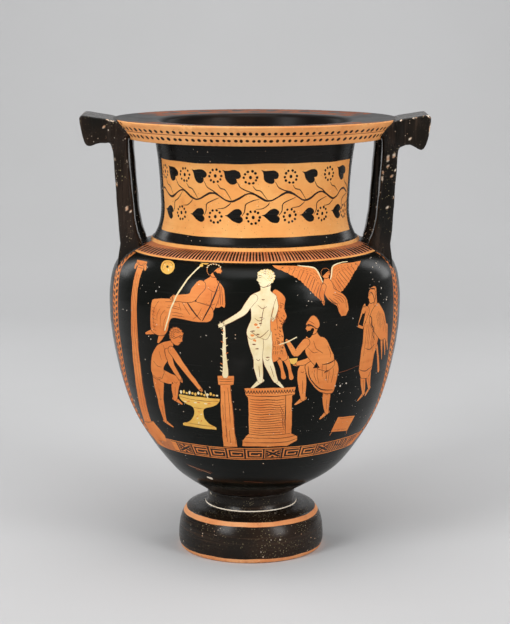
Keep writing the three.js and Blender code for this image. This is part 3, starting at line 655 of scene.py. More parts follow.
class Turned:
    """One closed section turned on the wheel, with its paint."""

    def __init__(self, name, parts, rref, soft=0.8, closed=False):
        P = np.vstack([p if i == 0 else p[1:] for i, p in enumerate(parts)])
        keep = np.r_[True, np.hypot(*np.diff(P, axis=0).T) > 1e-4]
        P = P[keep]
        starts, count = [], 0
        for i, p in enumerate(parts):
            starts.append(p[0])
        # even spacing, then soften the corners a little
        t = np.r_[0, np.cumsum(np.hypot(*np.diff(P, axis=0).T))]
        q = np.linspace(0, t[-1], int(t[-1] / 0.25) + 1)
        P = np.c_[np.interp(q, t, P[:, 0]), np.interp(q, t, P[:, 1])]
        k = np.arange(-16, 17)
        g = np.exp(-0.5 * (k * 0.25 / soft) ** 2)
        g /= g.sum()
        if closed:
            pad = np.vstack([P[-17:-1], P, P[1:17]])
        else:
            pad = np.vstack([2 * P[0] - P[16:0:-1], P, 2 * P[-1] - P[-2:-18:-1]])
        P = np.c_[np.convolve(pad[:, 0], g, 'valid'), np.convolve(pad[:, 1], g, 'valid')]
        if not closed:
            P[0, 0] = P[-1, 0] = 0.0
        else:
            P[-1] = P[0]
        self.name, self.P, self.closed, self.rref = name, P, closed, rref
        self.s = np.r_[0, np.cumsum(np.hypot(*np.diff(P, axis=0).T))]
        self.S = self.s[-1]
        d = np.gradient(P, self.s, axis=0)
        self.T = d / np.linalg.norm(d, axis=1)[:, None]
        self.starts = [self.s[int(np.argmin(np.hypot(*(P - a).T)))] for a in starts]
        self.layers = []

    def at(self, r, z, lo=0.0, hi=None):
        """The distance along the section of the point nearest to (r, z)."""
        m = (self.s >= lo) & (self.s <= (self.S if hi is None else hi))
        i = np.where(m)[0]
        return float(self.s[i[int(np.argmin(np.hypot(self.P[i, 0] - r, self.P[i, 1] - z)))]])

    def rows(self, longest=6.0, turn=0.16):
        bend = np.abs(np.unwrap(np.arctan2(self.T[:, 1], self.T[:, 0])))
        ang = np.r_[0, np.cumsum(np.abs(np.diff(np.unwrap(np.arctan2(self.T[:, 1], self.T[:, 0])))))]
        cost = self.s / longest + ang / turn
        n = int(cost[-1]) + 1
        return np.interp(np.linspace(0, cost[-1], n + 1), cost, self.s)

    def paint(self, P, paint):
        self.layers.append((np.asarray(P, float), paint))

    def put(self, picture, v_to_s, r_of_v, wrap=0.0):
        """Lay a picture, drawn in true millimetres, on the wall."""
        for P, paint in picture.layers:
            v = P[:, 1]
            r = r_of_v(v)
            th = P[:, 0] / r
            self.layers.append((np.c_[th * self.rref, v_to_s(v)], paint))

    def build(self, base, columns, longest=6.0, atlas=None):
        R, S = self.rref, self.S
        W = math.pi * R
        rows = self.rows(longest)
        rad = np.interp(rows, self.s, self.P[:, 0])
        pts, edges = [], []
        # paint outlines
        self.layers = [(thinned(P), paint) for P, paint in self.layers]
        for P, paint in self.layers:
            n0 = len(pts)
            n = len(P)
            Q = P.copy()
            Q[:, 0] = np.clip(Q[:, 0], -W, W)
            pts.extend(map(tuple, Q))
            for k in range(n):
                a, b = Q[k], Q[(k + 1) % n]
                if abs(a[0] - b[0]) < 1e-9 and abs(abs(a[0]) - W) < 1e-9:
                    continue
                edges.append((n0 + k, n0 + (k + 1) % n))
        # border and a grid that follows the clay
        near = {}
        for p in pts:
            near.setdefault((int(p[0] // 4), int(p[1] // 4)), []).append(p)
        grid = []
        us = np.linspace(-W, W, columns + 1)
        border_l, border_r = [], []
        for j, (s, r) in enumerate(zip(rows, rad)):
            every = 1 if r > 62 else (2 if r > 30 else (4 if r > 12 else 8))
            ends = j in (0, len(rows) - 1)
            for i, u in enumerate(us):
                if ends and (self.closed or r < 1e-6):
                    every_here = 1 if self.closed else columns // 8
                    if i % every_here and i != columns:
                        continue
                elif i % every and i != columns:
                    continue
                edge = i in (0, columns) or ends
                if not edge:
                    c = (int(u // 4), int(s // 4))
                    hit = False
                    for dx in (-1, 0, 1):
                        for dy in (-1, 0, 1):
                            for p in near.get((c[0] + dx, c[1] + dy), ()):
                                if abs(p[0] - u) < 1.3 and abs(p[1] - s) < 1.3:
                                    hit = True
                                    break
                    if hit:
                        continue
                grid.append((u, s))
                k = len(pts) + len(grid) - 1
                if i == 0:
                    border_l.append(k)
                if i == columns:
                    border_r.append(k)
        bottom = [k + len(pts) for k, g in enumerate(grid) if g[1] == rows[0]]
        top = [k + len(pts) for k, g in enumerate(grid) if g[1] == rows[-1]]
        pts = pts + grid
        for chain_ in (border_l, border_r, bottom, top):
            edges.extend(zip(chain_[:-1], chain_[1:]))
        out = delaunay_2d_cdt([Vector(p) for p in pts], edges, [], 0, 1e-5, False)
        C = np.array([tuple(v) for v in out[0]])
        F = np.array([f for f in out[2] if len(f) == 3], int)
        # keep only what is inside the sheet, and turn each face the same way round
        A = C[F]
        area = 0.5 * ((A[:, 1, 0] - A[:, 0, 0]) * (A[:, 2, 1] - A[:, 0, 1]) - (A[:, 2, 0] - A[:, 0, 0]) * (A[:, 1, 1] - A[:, 0, 1]))
        F[area < 0] = F[area < 0][:, ::-1]
        F = F[np.abs(area) > 1e-9]
        cen = C[F].mean(axis=1)
        F = F[(np.abs(cen[:, 0]) < W) & (cen[:, 1] > 0) & (cen[:, 1] < S)]
        cen = C[F].mean(axis=1)
        # which paint each face wears
        paint = np.full(len(F), base if np.isscalar(base) else 0, int)
        if not np.isscalar(base):
            for s0, s1, p in base:
                paint[(cen[:, 1] >= s0) & (cen[:, 1] < s1)] = p
        order = np.argsort(cen[:, 0])
        cx = cen[order, 0]
        for P, p in self.layers:
            lo, hi = P.min(0), P.max(0)
            i0, i1 = np.searchsorted(cx, lo[0]), np.searchsorted(cx, hi[0], side='right')
            cand = order[i0:i1]
            cy = cen[cand, 1]
            cand = cand[(cy >= lo[1]) & (cy <= hi[1])]
            if not len(cand):
                continue
            Q = np.roll(P, -1, 0)
            for c0 in range(0, len(cand), 4000):
                c = cand[c0:c0 + 4000]
                x, y = cen[c, 0][:, None], cen[c, 1][:, None]
                cond = (P[:, 1] > y) != (Q[:, 1] > y)
                with np.errstate(divide='ignore', invalid='ignore'):
                    xi = (Q[:, 0] - P[:, 0]) * (y - P[:, 1]) / (Q[:, 1] - P[:, 1]) + P[:, 0]
                paint[c[((cond & (x < xi)).sum(1) % 2) == 1]] = p
        # weld the two edges of the sheet, its ends, and any point on the axis
        ident = np.arange(len(C))
        L = np.where(np.abs(C[:, 0] + W) < 1e-4)[0]
        Rr = np.where(np.abs(C[:, 0] - W) < 1e-4)[0]
        L, Rr = L[np.argsort(C[L, 1])], Rr[np.argsort(C[Rr, 1])]
        if len(L) == len(Rr):
            ident[Rr] = L
        else:
            j = np.argmin(np.abs(C[Rr, 1][:, None] - C[L, 1][None]), axis=1)
            ident[Rr] = L[j]
        if self.closed:
            B = np.where(np.abs(C[:, 1]) < 1e-4)[0]
            T = np.where(np.abs(C[:, 1] - S) < 1e-4)[0]
            j = np.argmin(np.abs(C[T, 0][:, None] - C[B, 0][None]), axis=1)
            ident[T] = B[j]
            ident = ident[ident]
            ident = ident[ident]
        else:
            for mask in (C[:, 1] < 1e-4, C[:, 1] > S - 1e-4):
                k = np.where(mask)[0]
                ident[k] = k[0]
        M = ident[F]
        good = (M[:, 0] != M[:, 1]) & (M[:, 1] != M[:, 2]) & (M[:, 0] != M[:, 2])
        F, M, paint, cen = F[good], M[good], paint[good], cen[good]
        used, inv = np.unique(M, return_inverse=True)
        M = inv.reshape(M.shape)
        co, no = self.surface(C[used, 0], C[used, 1])
        uv = self.unwrap(C, F, cen, atlas)
        return make_mesh(self.name, co, M, no, paint, uv)

    def surface(self, u, s):
        th = u / self.rref
        r = np.interp(s, self.s, self.P[:, 0])
        z = np.interp(s, self.s, self.P[:, 1])
        tr = np.interp(s, self.s, self.T[:, 0])
        tz = np.interp(s, self.s, self.T[:, 1])
        fade = np.clip(r / 60, 0, 1) * smooth((z - 2) / 12)
        d = uneven(th, z) * fade
        e = 1e-3
        d_th = (uneven(th + e, z) - uneven(th - e, z)) / (2 * e) * fade
        d_z = (uneven(th, z + 0.1) - uneven(th, z - 0.1)) / 0.2 * fade
        rr = r + d
        st, ct = np.sin(th), np.cos(th)
        x = rr * st + foot_shift(z)
        co = np.c_[x, -rr * ct, z]
        # the section's normal, tipped by the wall's unevenness
        nr, nz = tz, -tr
        ntheta = -d_th / np.maximum(r, 1.0) * np.abs(nr)
        nz = nz - d_z * nr
        no = np.c_[nr * st + ntheta * ct, -nr * ct + ntheta * st, nz]
        axis = r < 1e-6
        no[axis] = np.c_[np.zeros(axis.sum()), np.zeros(axis.sum()), np.sign(-tr[axis])]
        no /= np.linalg.norm(no, axis=1)[:, None]
        return co, no

    def unwrap(self, C, F, cen, atlas):
        """The bake's own map: each stretch of the section is a strip, cut at the front's sides where it is painted."""
        W = math.pi * self.rref
        uv = np.zeros((len(F), 3, 2))
        y0 = 0.006
        pad = 0.010
        strips = []
        for s0, s1, height, halves in atlas:
            if halves:
                strips.append((s0, s1, height * 0.5, 'front'))
                strips.append((s0, s1, height * 0.5, 'back'))
            else:
                strips.append((s0, s1, height, 'all'))
        total = sum(t[2] for t in strips)
        room = 1 - 0.012 - pad * (len(strips) - 1)
        done = np.zeros(len(F), bool)
        for s0, s1, height, which in strips:
            h = room * height / total
            m = (cen[:, 1] >= s0) & (cen[:, 1] <= s1) & ~done
            x = C[F][:, :, 0]
            if which == 'front':
                m &= np.abs(cen[:, 0]) <= W / 2
                xx = (x + W / 2) / W
            elif which == 'back':
                m &= np.abs(cen[:, 0]) > W / 2
                xb = np.where(cen[:, 0][:, None] > 0, x - W, x + W)
                xx = (xb + W / 2) / W
            else:
                xx = (x + W) / (2 * W)
            yy = (C[F][:, :, 1] - s0) / max(s1 - s0, 1e-6)
            uv[m, :, 0] = 0.012 + 0.976 * xx[m]
            uv[m, :, 1] = y0 + h * yy[m]
            done |= m
            y0 += h + pad
        return np.clip(uv, 0.0005, 0.9995)


def make_mesh(name, co_mm, faces, normals, paint, uv, extra=None):
    me = bpy.data.meshes.new(name)
    n, f = len(co_mm), len(faces)
    me.vertices.add(n)
    me.vertices.foreach_set('co', (np.asarray(co_mm) * 0.001).astype(np.float32).ravel())
    me.loops.add(3 * f)
    me.loops.foreach_set('vertex_index', faces.ravel().astype(np.int32))
    me.polygons.add(f)
    me.polygons.foreach_set('loop_start', np.arange(0, 3 * f, 3, dtype=np.int32))
    me.polygons.foreach_set('loop_total', np.full(f, 3, np.int32))
    present = sorted(set(int(p) for p in np.unique(paint)))
    slot = {p: i for i, p in enumerate(present)}
    me.polygons.foreach_set('material_index', np.array([slot[int(p)] for p in paint], np.int32))
    me.update(calc_edges=True)
    me.validate(verbose=False)
    me.polygons.foreach_set('use_smooth', np.ones(len(me.polygons), bool))
    if uv is not None and len(me.polygons) == f:
        layer = me.uv_layers.new(name='OFBake')
        layer.data.foreach_set('uv', uv.reshape(-1, 2).astype(np.float32).ravel())
    for key, val in (extra or {}).items():
        at = me.attributes.new(key, 'FLOAT', 'POINT')
        at.data.foreach_set('value', np.asarray(val, np.float32))
    if len(me.vertices) == n:
        me.normals_split_custom_set_from_vertices([tuple(v) for v in normals])
    ob = bpy.data.objects.new(name, me)
    bpy.context.scene.collection.objects.link(ob)
    for p in present:
        me.materials.append(material(p))
    print(name, 'points', n, 'faces', f, 'of', len(me.polygons))
    return ob


# ---------------------------------------------------------------------------
# Finishes
# ---------------------------------------------------------------------------

def srgb(r, g, b):
    f = lambda c: (c / 255) / 12.92 if c <= 10.3 else (((c / 255) + 0.055) / 1.055) ** 2.4
    return (f(r), f(g), f(b), 1.0)


class Nodes:
    def __init__(self, name):
        self.mat = bpy.data.materials.new(name)
        self.mat.use_nodes = True
        self.t = self.mat.node_tree
        self.t.nodes.clear()
        self.out = self.new('ShaderNodeOutputMaterial')
        self.bsdf = self.new('ShaderNodeBsdfPrincipled')
        self.link(self.bsdf.outputs['BSDF'], self.out.inputs['Surface'])
        self.pos = self.new('ShaderNodeTexCoord').outputs['Object']

    def new(self, kind, **props):
        n = self.t.nodes.new(kind)
        for k, v in props.items():
            setattr(n, k, v)
        return n

    def link(self, a, b):
        self.t.links.new(a, b)

    def scaled(self, x, y, z):
        m = self.new('ShaderNodeMapping')
        m.inputs['Scale'].default_value = (x, y, z)
        self.link(self.pos, m.inputs['Vector'])
        return m.outputs['Vector']

    def noise(self, scale, detail=3.0, rough=0.55, vector=None, distortion=0.0):
        n = self.new('ShaderNodeTexNoise')
        n.inputs['Scale'].default_value = scale
        n.inputs['Detail'].default_value = detail
        n.inputs['Roughness'].default_value = rough
        n.inputs['Distortion'].default_value = distortion
        self.link(vector if vector is not None else self.pos, n.inputs['Vector'])
        return n.outputs['Fac']

    def cells(self, scale, vector=None):
        n = self.new('ShaderNodeTexVoronoi')
        n.inputs['Scale'].default_value = scale
        self.link(vector if vector is not None else self.pos, n.inputs['Vector'])
        return n.outputs['Distance'], n.outputs['Color']

    def step(self, value, lo, hi, a=0.0, b=1.0):
        n = self.new('ShaderNodeMapRange', interpolation_type='SMOOTHSTEP')
        n.inputs['From Min'].default_value = lo
        n.inputs['From Max'].default_value = hi
        n.inputs['To Min'].default_value = a
        n.inputs['To Max'].default_value = b
        self.link(value, n.inputs['Value'])
        return n.outputs['Result']

    def math(self, op, a, b=None, c=None):
        n = self.new('ShaderNodeMath', operation=op)
        for i, v in enumerate((a, b, c)):
            if v is None:
                continue
            if isinstance(v, (int, float)):
                n.inputs[i].default_value = v
            else:
                self.link(v, n.inputs[i])
        return n.outputs[0]

    def mix(self, fac, a, b):
        n = self.new('ShaderNodeMix', data_type='RGBA')
        for s, v in ((n.inputs[0], fac), (n.inputs[6], a), (n.inputs[7], b)):
            if isinstance(v, (int, float)):
                s.default_value = v
            elif isinstance(v, tuple):
                s.default_value = v
            else:
                self.link(v, s)
        return n.outputs[2]

    def bump(self, height, strength, distance=0.001, normal=None):
        n = self.new('ShaderNodeBump')
        n.inputs['Strength'].default_value = strength
        n.inputs['Distance'].default_value = distance
        self.link(height, n.inputs['Height'])
        if normal is not None:
            self.link(normal, n.inputs['Normal'])
        return n.outputs['Normal']

    def attribute(self, name):
        n = self.new('ShaderNodeAttribute', attribute_name=name)
        return n.outputs['Fac']


def specks(N, scale, size, share, patch_scale=None, patch=(0.45, 0.7), seed=0.0):
    """A mask of small chips: some cells of a net, each with a dot of its own size."""
    dist, col = N.cells(scale, N.scaled(1, 1, 1) if not seed else None)
    sep = N.new('ShaderNodeSeparateColor')
    N.link(col, sep.inputs[0])
    chosen = N.math('GREATER_THAN', sep.outputs[0], 1.0 - share)
    rad = N.math('MULTIPLY_ADD', sep.outputs[1], size * 0.8, size * 0.35)
    dot = N.math('LESS_THAN', dist, rad)
    m = N.math('MULTIPLY', chosen, dot)
    if patch_scale:
        m = N.math('MULTIPLY', m, N.step(N.noise(patch_scale, 2.0), patch[0], patch[1]))
    return m


def slip_material(name, dark, warm, warmth, chips, rough=0.24, handle=False, gloss=0.22, grain=0.0):
    """The black gloss slip: near black, thinner and browner in patches, with brush streaks round the pot and small
    losses. On the handles the streaks run upright, and there the browner patches and lighter streaks are painted sheen
    as well as thin slip.
    """
    N = Nodes(name)
    tone = N.noise(7.0, 4.0, 0.6)
    streak = N.noise(1.0, 3.0, 0.6, N.scaled(150, 150, 9) if handle else N.scaled(9, 9, 210))
    fine = N.noise(620.0, 3.0, 0.6)
    # browner patches and lighter brown streaks: thin slip and brush streaks; on the handles they are also painted sheen
    body = N.mix(N.step(tone, 0.42, 0.74), dark, warm)
    body = N.mix(N.math('MULTIPLY', N.step(streak, 0.52, 0.80), warmth), body, tuple(min(1, c * 2.4) for c in warm[:3]) + (1,))
    body = N.mix(N.step(N.noise(16.0, 3.0, 0.6), 0.60, 0.82, 0.0, 0.30), body, srgb(44, 42, 40))
    if chips:
        lost = specks(N, 420.0, 0.30, chips, 22.0, (0.50, 0.66))
        lost = N.math('MAXIMUM', lost, specks(N, 170.0, 0.22, chips * 0.5, 14.0, (0.56, 0.70)))
    else:
        lost = specks(N, 300.0, 0.2, 0.01)
    if grain:
        tiny = specks(N, 560.0, 0.30, grain, 30.0, (0.40, 0.62))
        body = N.mix(N.math('MULTIPLY', tiny, 0.75), body, srgb(150, 138, 104))
    if handle:
        rub = N.math('MULTIPLY', N.attribute('wear'), N.step(N.noise(110.0, 5.0, 0.75), 0.46, 0.62))
        rub = N.math('MULTIPLY', rub, N.step(N.noise(24.0, 3.0, 0.6), 0.42, 0.58))
        lost = N.math('MAXIMUM', lost, N.step(rub, 0.34, 0.60))
        lost = N.math('MAXIMUM', lost, N.attribute('chip'))
    chip_col = N.mix(N.step(N.noise(190.0, 2.0), 0.35, 0.65), srgb(206, 158, 122), srgb(236, 222, 202))
    col = N.mix(lost, body, chip_col)
    N.link(col, N.bsdf.inputs['Base Color'])
    r = N.math('MULTIPLY_ADD', N.noise(40.0, 4.0, 0.65), 0.16, rough - 0.08)
    r = N.math('MULTIPLY_ADD', N.step(streak, 0.45, 0.8), 0.08, r)
    r = N.math('MAXIMUM', r, N.math('MULTIPLY', lost, 0.75))
    N.link(r, N.bsdf.inputs['Roughness'])
    N.bsdf.inputs['Specular IOR Level'].default_value = gloss
    nor = N.bump(streak, 0.10, 0.0006)
    nor = N.bump(fine, 0.06, 0.0003, nor)
    nor = N.bump(N.noise(55.0, 4.0, 0.6), 0.10, 0.0012, nor)
    nor = N.bump(lost, -0.6, 0.0004, nor)
    N.link(nor, N.bsdf.inputs['Normal'])
    return N.mat


def clay_material(name, main, light, dark, stain, rough=0.62, wash=None):
    """Bare orange clay between the paint: fine-grained, unevenly fired, with faint wheel lines and dark pin-points."""
    N = Nodes(name)
    big = N.noise(13.0, 4.0, 0.6)
    mid = N.noise(70.0, 4.0, 0.6)
    streak = N.noise(1.0, 3.0, 0.6, N.scaled(14, 14, 260))
    fine = N.noise(900.0, 2.0, 0.6)
    col = N.mix(N.step(big, 0.32, 0.70), light, main)
    col = N.mix(N.step(mid, 0.48, 0.82, 0.0, 0.55), col, dark)
    col = N.mix(N.step(streak, 0.50, 0.78, 0.0, 0.35), col, dark)
    col = N.mix(N.step(N.noise(30.0, 5.0, 0.7), 0.62, 0.80, 0.0, 0.5), col, stain)
    pin = specks(N, 520.0, 0.30, 0.10)
    col = N.mix(N.math('MULTIPLY', pin, 0.45), col, srgb(110, 62, 38))
    pale = specks(N, 410.0, 0.26, 0.05)
    col = N.mix(N.math('MULTIPLY', pale, 0.5), col, srgb(250, 214, 170))
    N.link(col, N.bsdf.inputs['Base Color'])
    N.link(N.math('MULTIPLY_ADD', mid, 0.16, rough - 0.08), N.bsdf.inputs['Roughness'])
    N.bsdf.inputs['Specular IOR Level'].default_value = 0.22
    nor = N.bump(streak, 0.12, 0.0008)
    nor = N.bump(fine, 0.16, 0.0003, nor)
    nor = N.bump(pin, -0.3, 0.0003, nor)
    N.link(nor, N.bsdf.inputs['Normal'])
    return N.mat


def added_paint(name, main, alt, under, flaked, rough=0.7):
    """White or yellow laid on after the slip: chalky, brushed, and flaked in places down to the clay."""
    N = Nodes(name)
    col = N.mix(N.step(N.noise(60.0, 4.0, 0.6), 0.35, 0.72), main, alt)
    brushed = N.noise(1.0, 3.0, 0.6, N.scaled(160, 160, 420))
    col = N.mix(N.step(brushed, 0.50, 0.80, 0.0, 0.4), col, alt)
    flake = N.step(N.noise(120.0, 5.0, 0.75), 1 - flaked, 1.04 - flaked)
    col = N.mix(flake, col, under)
    N.link(col, N.bsdf.inputs['Base Color'])
    N.bsdf.inputs['Roughness'].default_value = rough
    N.bsdf.inputs['Specular IOR Level'].default_value = 0.2
    nor = N.bump(brushed, 0.25, 0.0005)
    nor = N.bump(flake, -0.5, 0.0004, nor)
    N.link(nor, N.bsdf.inputs['Normal'])
    return N.mat


_materials = {}
PIECE = ['']


def material(p):
    """The finish for a paint on the piece being made."""
    piece = PIECE[0]
    if p == SLIP or p == HANDLE:
        key = {'handle': 'slip_handle', 'foot': 'slip_foot', 'neck': 'slip_neck', 'lip': 'slip_lip'}.get(piece, 'slip_body')
    elif p == CLAY:
        key = {'lip': 'clay_lip', 'neck': 'clay_neck', 'foot': 'clay_foot'}.get(piece, 'clay_body')
    else:
        key = {WHITE: 'added_white', YELLOW: 'added_yellow', LINE: 'relief_line', THIN: 'thinned_slip', GROUND: 'clay_ground', BARE: 'clay_bare', SPECK: 'bare_speck', TOPBAND: 'clay_top', TONGUE: 'clay_tongue', CREAM: 'cream_line', UNDER: 'slip_under'}[p]
    if key in _materials:
        return _materials[key]
    if key == 'slip_body':
        m = slip_material(key, srgb(11, 13, 10), srgb(18, 17, 14), 0.18, 0.03, 0.22, gloss=0.11)
    elif key == 'slip_neck':
        m = slip_material(key, srgb(20, 19, 17), srgb(29, 25, 22), 0.30, 0.05, 0.26, gloss=0.13)
    elif key == 'slip_lip':
        m = slip_material(key, srgb(15, 13, 12), srgb(40, 30, 24), 0.5, 0.05, 0.32, gloss=0.08)
    elif key == 'slip_under':
        m = slip_material(key, srgb(30, 22, 18), srgb(50, 34, 26), 0.5, 0.06, 0.30, gloss=0.12, grain=0.15)
    elif key == 'slip_foot':
        m = slip_material(key, srgb(23, 18, 13), srgb(46, 31, 20), 0.60, 0.12, 0.26, gloss=0.2, grain=0.5)
    elif key == 'slip_handle':
        # the handles' larger brown patches and lighter upright streaks are partly painted sheen on the columns
        m = slip_material(key, srgb(17, 16, 13), srgb(44, 33, 26), 0.60, 0.20, 0.26, handle=True, gloss=0.15, grain=0.30)
    elif key == 'clay_neck':
        m = clay_material(key, srgb(240, 160, 84), srgb(248, 180, 104), srgb(226, 142, 72), srgb(220, 132, 70))
    elif key == 'clay_lip':
        m = clay_material(key, srgb(234, 156, 90), srgb(244, 178, 112), srgb(212, 126, 70), srgb(196, 108, 60))
    elif key == 'clay_body':
        m = clay_material(key, srgb(216, 120, 56), srgb(230, 142, 74), srgb(196, 98, 42), srgb(184, 88, 42))
    elif key == 'clay_foot':
        m = clay_material(key, srgb(228, 142, 84), srgb(240, 172, 118), srgb(200, 108, 62), srgb(160, 84, 50))
    elif key == 'clay_ground':
        m = clay_material(key, srgb(176, 102, 58), srgb(200, 122, 74), srgb(140, 74, 42), srgb(112, 56, 34))
    elif key == 'clay_tongue':
        m = clay_material(key, srgb(208, 126, 82), srgb(222, 146, 100), srgb(184, 100, 64), srgb(160, 84, 54))
    elif key == 'cream_line':
        m = added_paint(key, srgb(252, 240, 222), srgb(244, 226, 200), srgb(226, 190, 150), 0.24)
    elif key == 'clay_top':
        m = clay_material(key, srgb(128, 72, 46), srgb(150, 90, 60), srgb(92, 50, 34), srgb(60, 38, 28))
    elif key == 'clay_bare':
        m = clay_material(key, srgb(206, 138, 98), srgb(220, 160, 122), srgb(186, 112, 76), srgb(160, 96, 68), 0.8)
    elif key == 'bare_speck':
        m = clay_material(key, srgb(200, 184, 166), srgb(222, 214, 204), srgb(170, 130, 104), srgb(150, 120, 100), 0.8)
    elif key == 'added_white':
        m = added_paint(key, srgb(240, 224, 184), srgb(226, 204, 154), srgb(206, 144, 84), 0.27)
    elif key == 'added_yellow':
        m = added_paint(key, srgb(232, 186, 92), srgb(224, 166, 74), srgb(196, 112, 48), 0.34)
    elif key == 'relief_line':
        m = slip_material(key, srgb(30, 19, 12), srgb(50, 29, 17), 0.4, 0.0, 0.40)
    else:
        m = slip_material(key, srgb(126, 62, 30), srgb(98, 46, 22), 0.5, 0.0, 0.50)
    _materials[key] = m
    return m


# ---------------------------------------------------------------------------
# The handles: clay columns and plates, smoothed into the pot by hand
# ---------------------------------------------------------------------------

def smin(a, b, k):
    h = np.clip(0.5 + 0.5 * (b - a) / k, 0, 1)
    return b * (1 - h) + a * h - k * h * (1 - h)


def smax(a, b, k):
    return -smin(-a, -b, k)


def polygon_distance(P, X, Y):
    """Signed distance to a closed outline, negative inside."""
    P = np.asarray(P, float)
    Q = np.roll(P, -1, 0)
    d2 = np.full(X.shape, 1e18)
    inside_ = np.zeros(X.shape, bool)
    for (ax, ay), (bx, by) in zip(P, Q):
        ex, ey = bx - ax, by - ay
        wx, wy = X - ax, Y - ay
        t = np.clip((wx * ex + wy * ey) / max(ex * ex + ey * ey, 1e-12), 0, 1)
        d2 = np.minimum(d2, (wx - ex * t) ** 2 + (wy - ey * t) ** 2)
        c = (ay > Y) != (by > Y)
        if ey != 0:
            inside_ ^= c & (X < ex * (Y - ay) / ey + ax)
    d = np.sqrt(d2)
    return np.where(inside_, -d, d)


def bilinear(table, x0, y0, step, X, Y):
    fx = np.clip((X - x0) / step, 0, table.shape[0] - 1.001)
    fy = np.clip((Y - y0) / step, 0, table.shape[1] - 1.001)
    i, j = fx.astype(int), fy.astype(int)
    a, b = fx - i, fy - j
    return (table[i, j] * (1 - a) * (1 - b) + table[i + 1, j] * a * (1 - b) + table[i, j + 1] * (1 - a) * b + table[i + 1, j + 1] * a * b)


PLATE = [(112, 503), (138, 505), (152, 510.5), (160, 514.0), (168, 516.0), (180, 517.6), (192, 519.6), (197.6, 520.0), (200.2, 517.6), (200.0, 511), (198.4, 503), (196.3, 495.5), (194.2, 489.2),
         (191.8, 486.0), (188.6, 485.1), (185, 486.1), (181, 487.8), (176, 488.9), (170, 488.6), (164, 490.5), (156, 494), (148, 497.5), (128, 498.5), (112, 498)]


PLATE_RIGHT = PLATE[:9] + [(200.2, 511), (199.4, 503), (197.6, 494), (195.4, 486.8), (192.6, 481.6), (189.6, 480.1), (186.4, 481.3), (182.4, 483.8), (177, 486.6), (172, 486.4), (167, 484.6), (160, 488), (150, 497), (128, 498.5), (112, 498)]


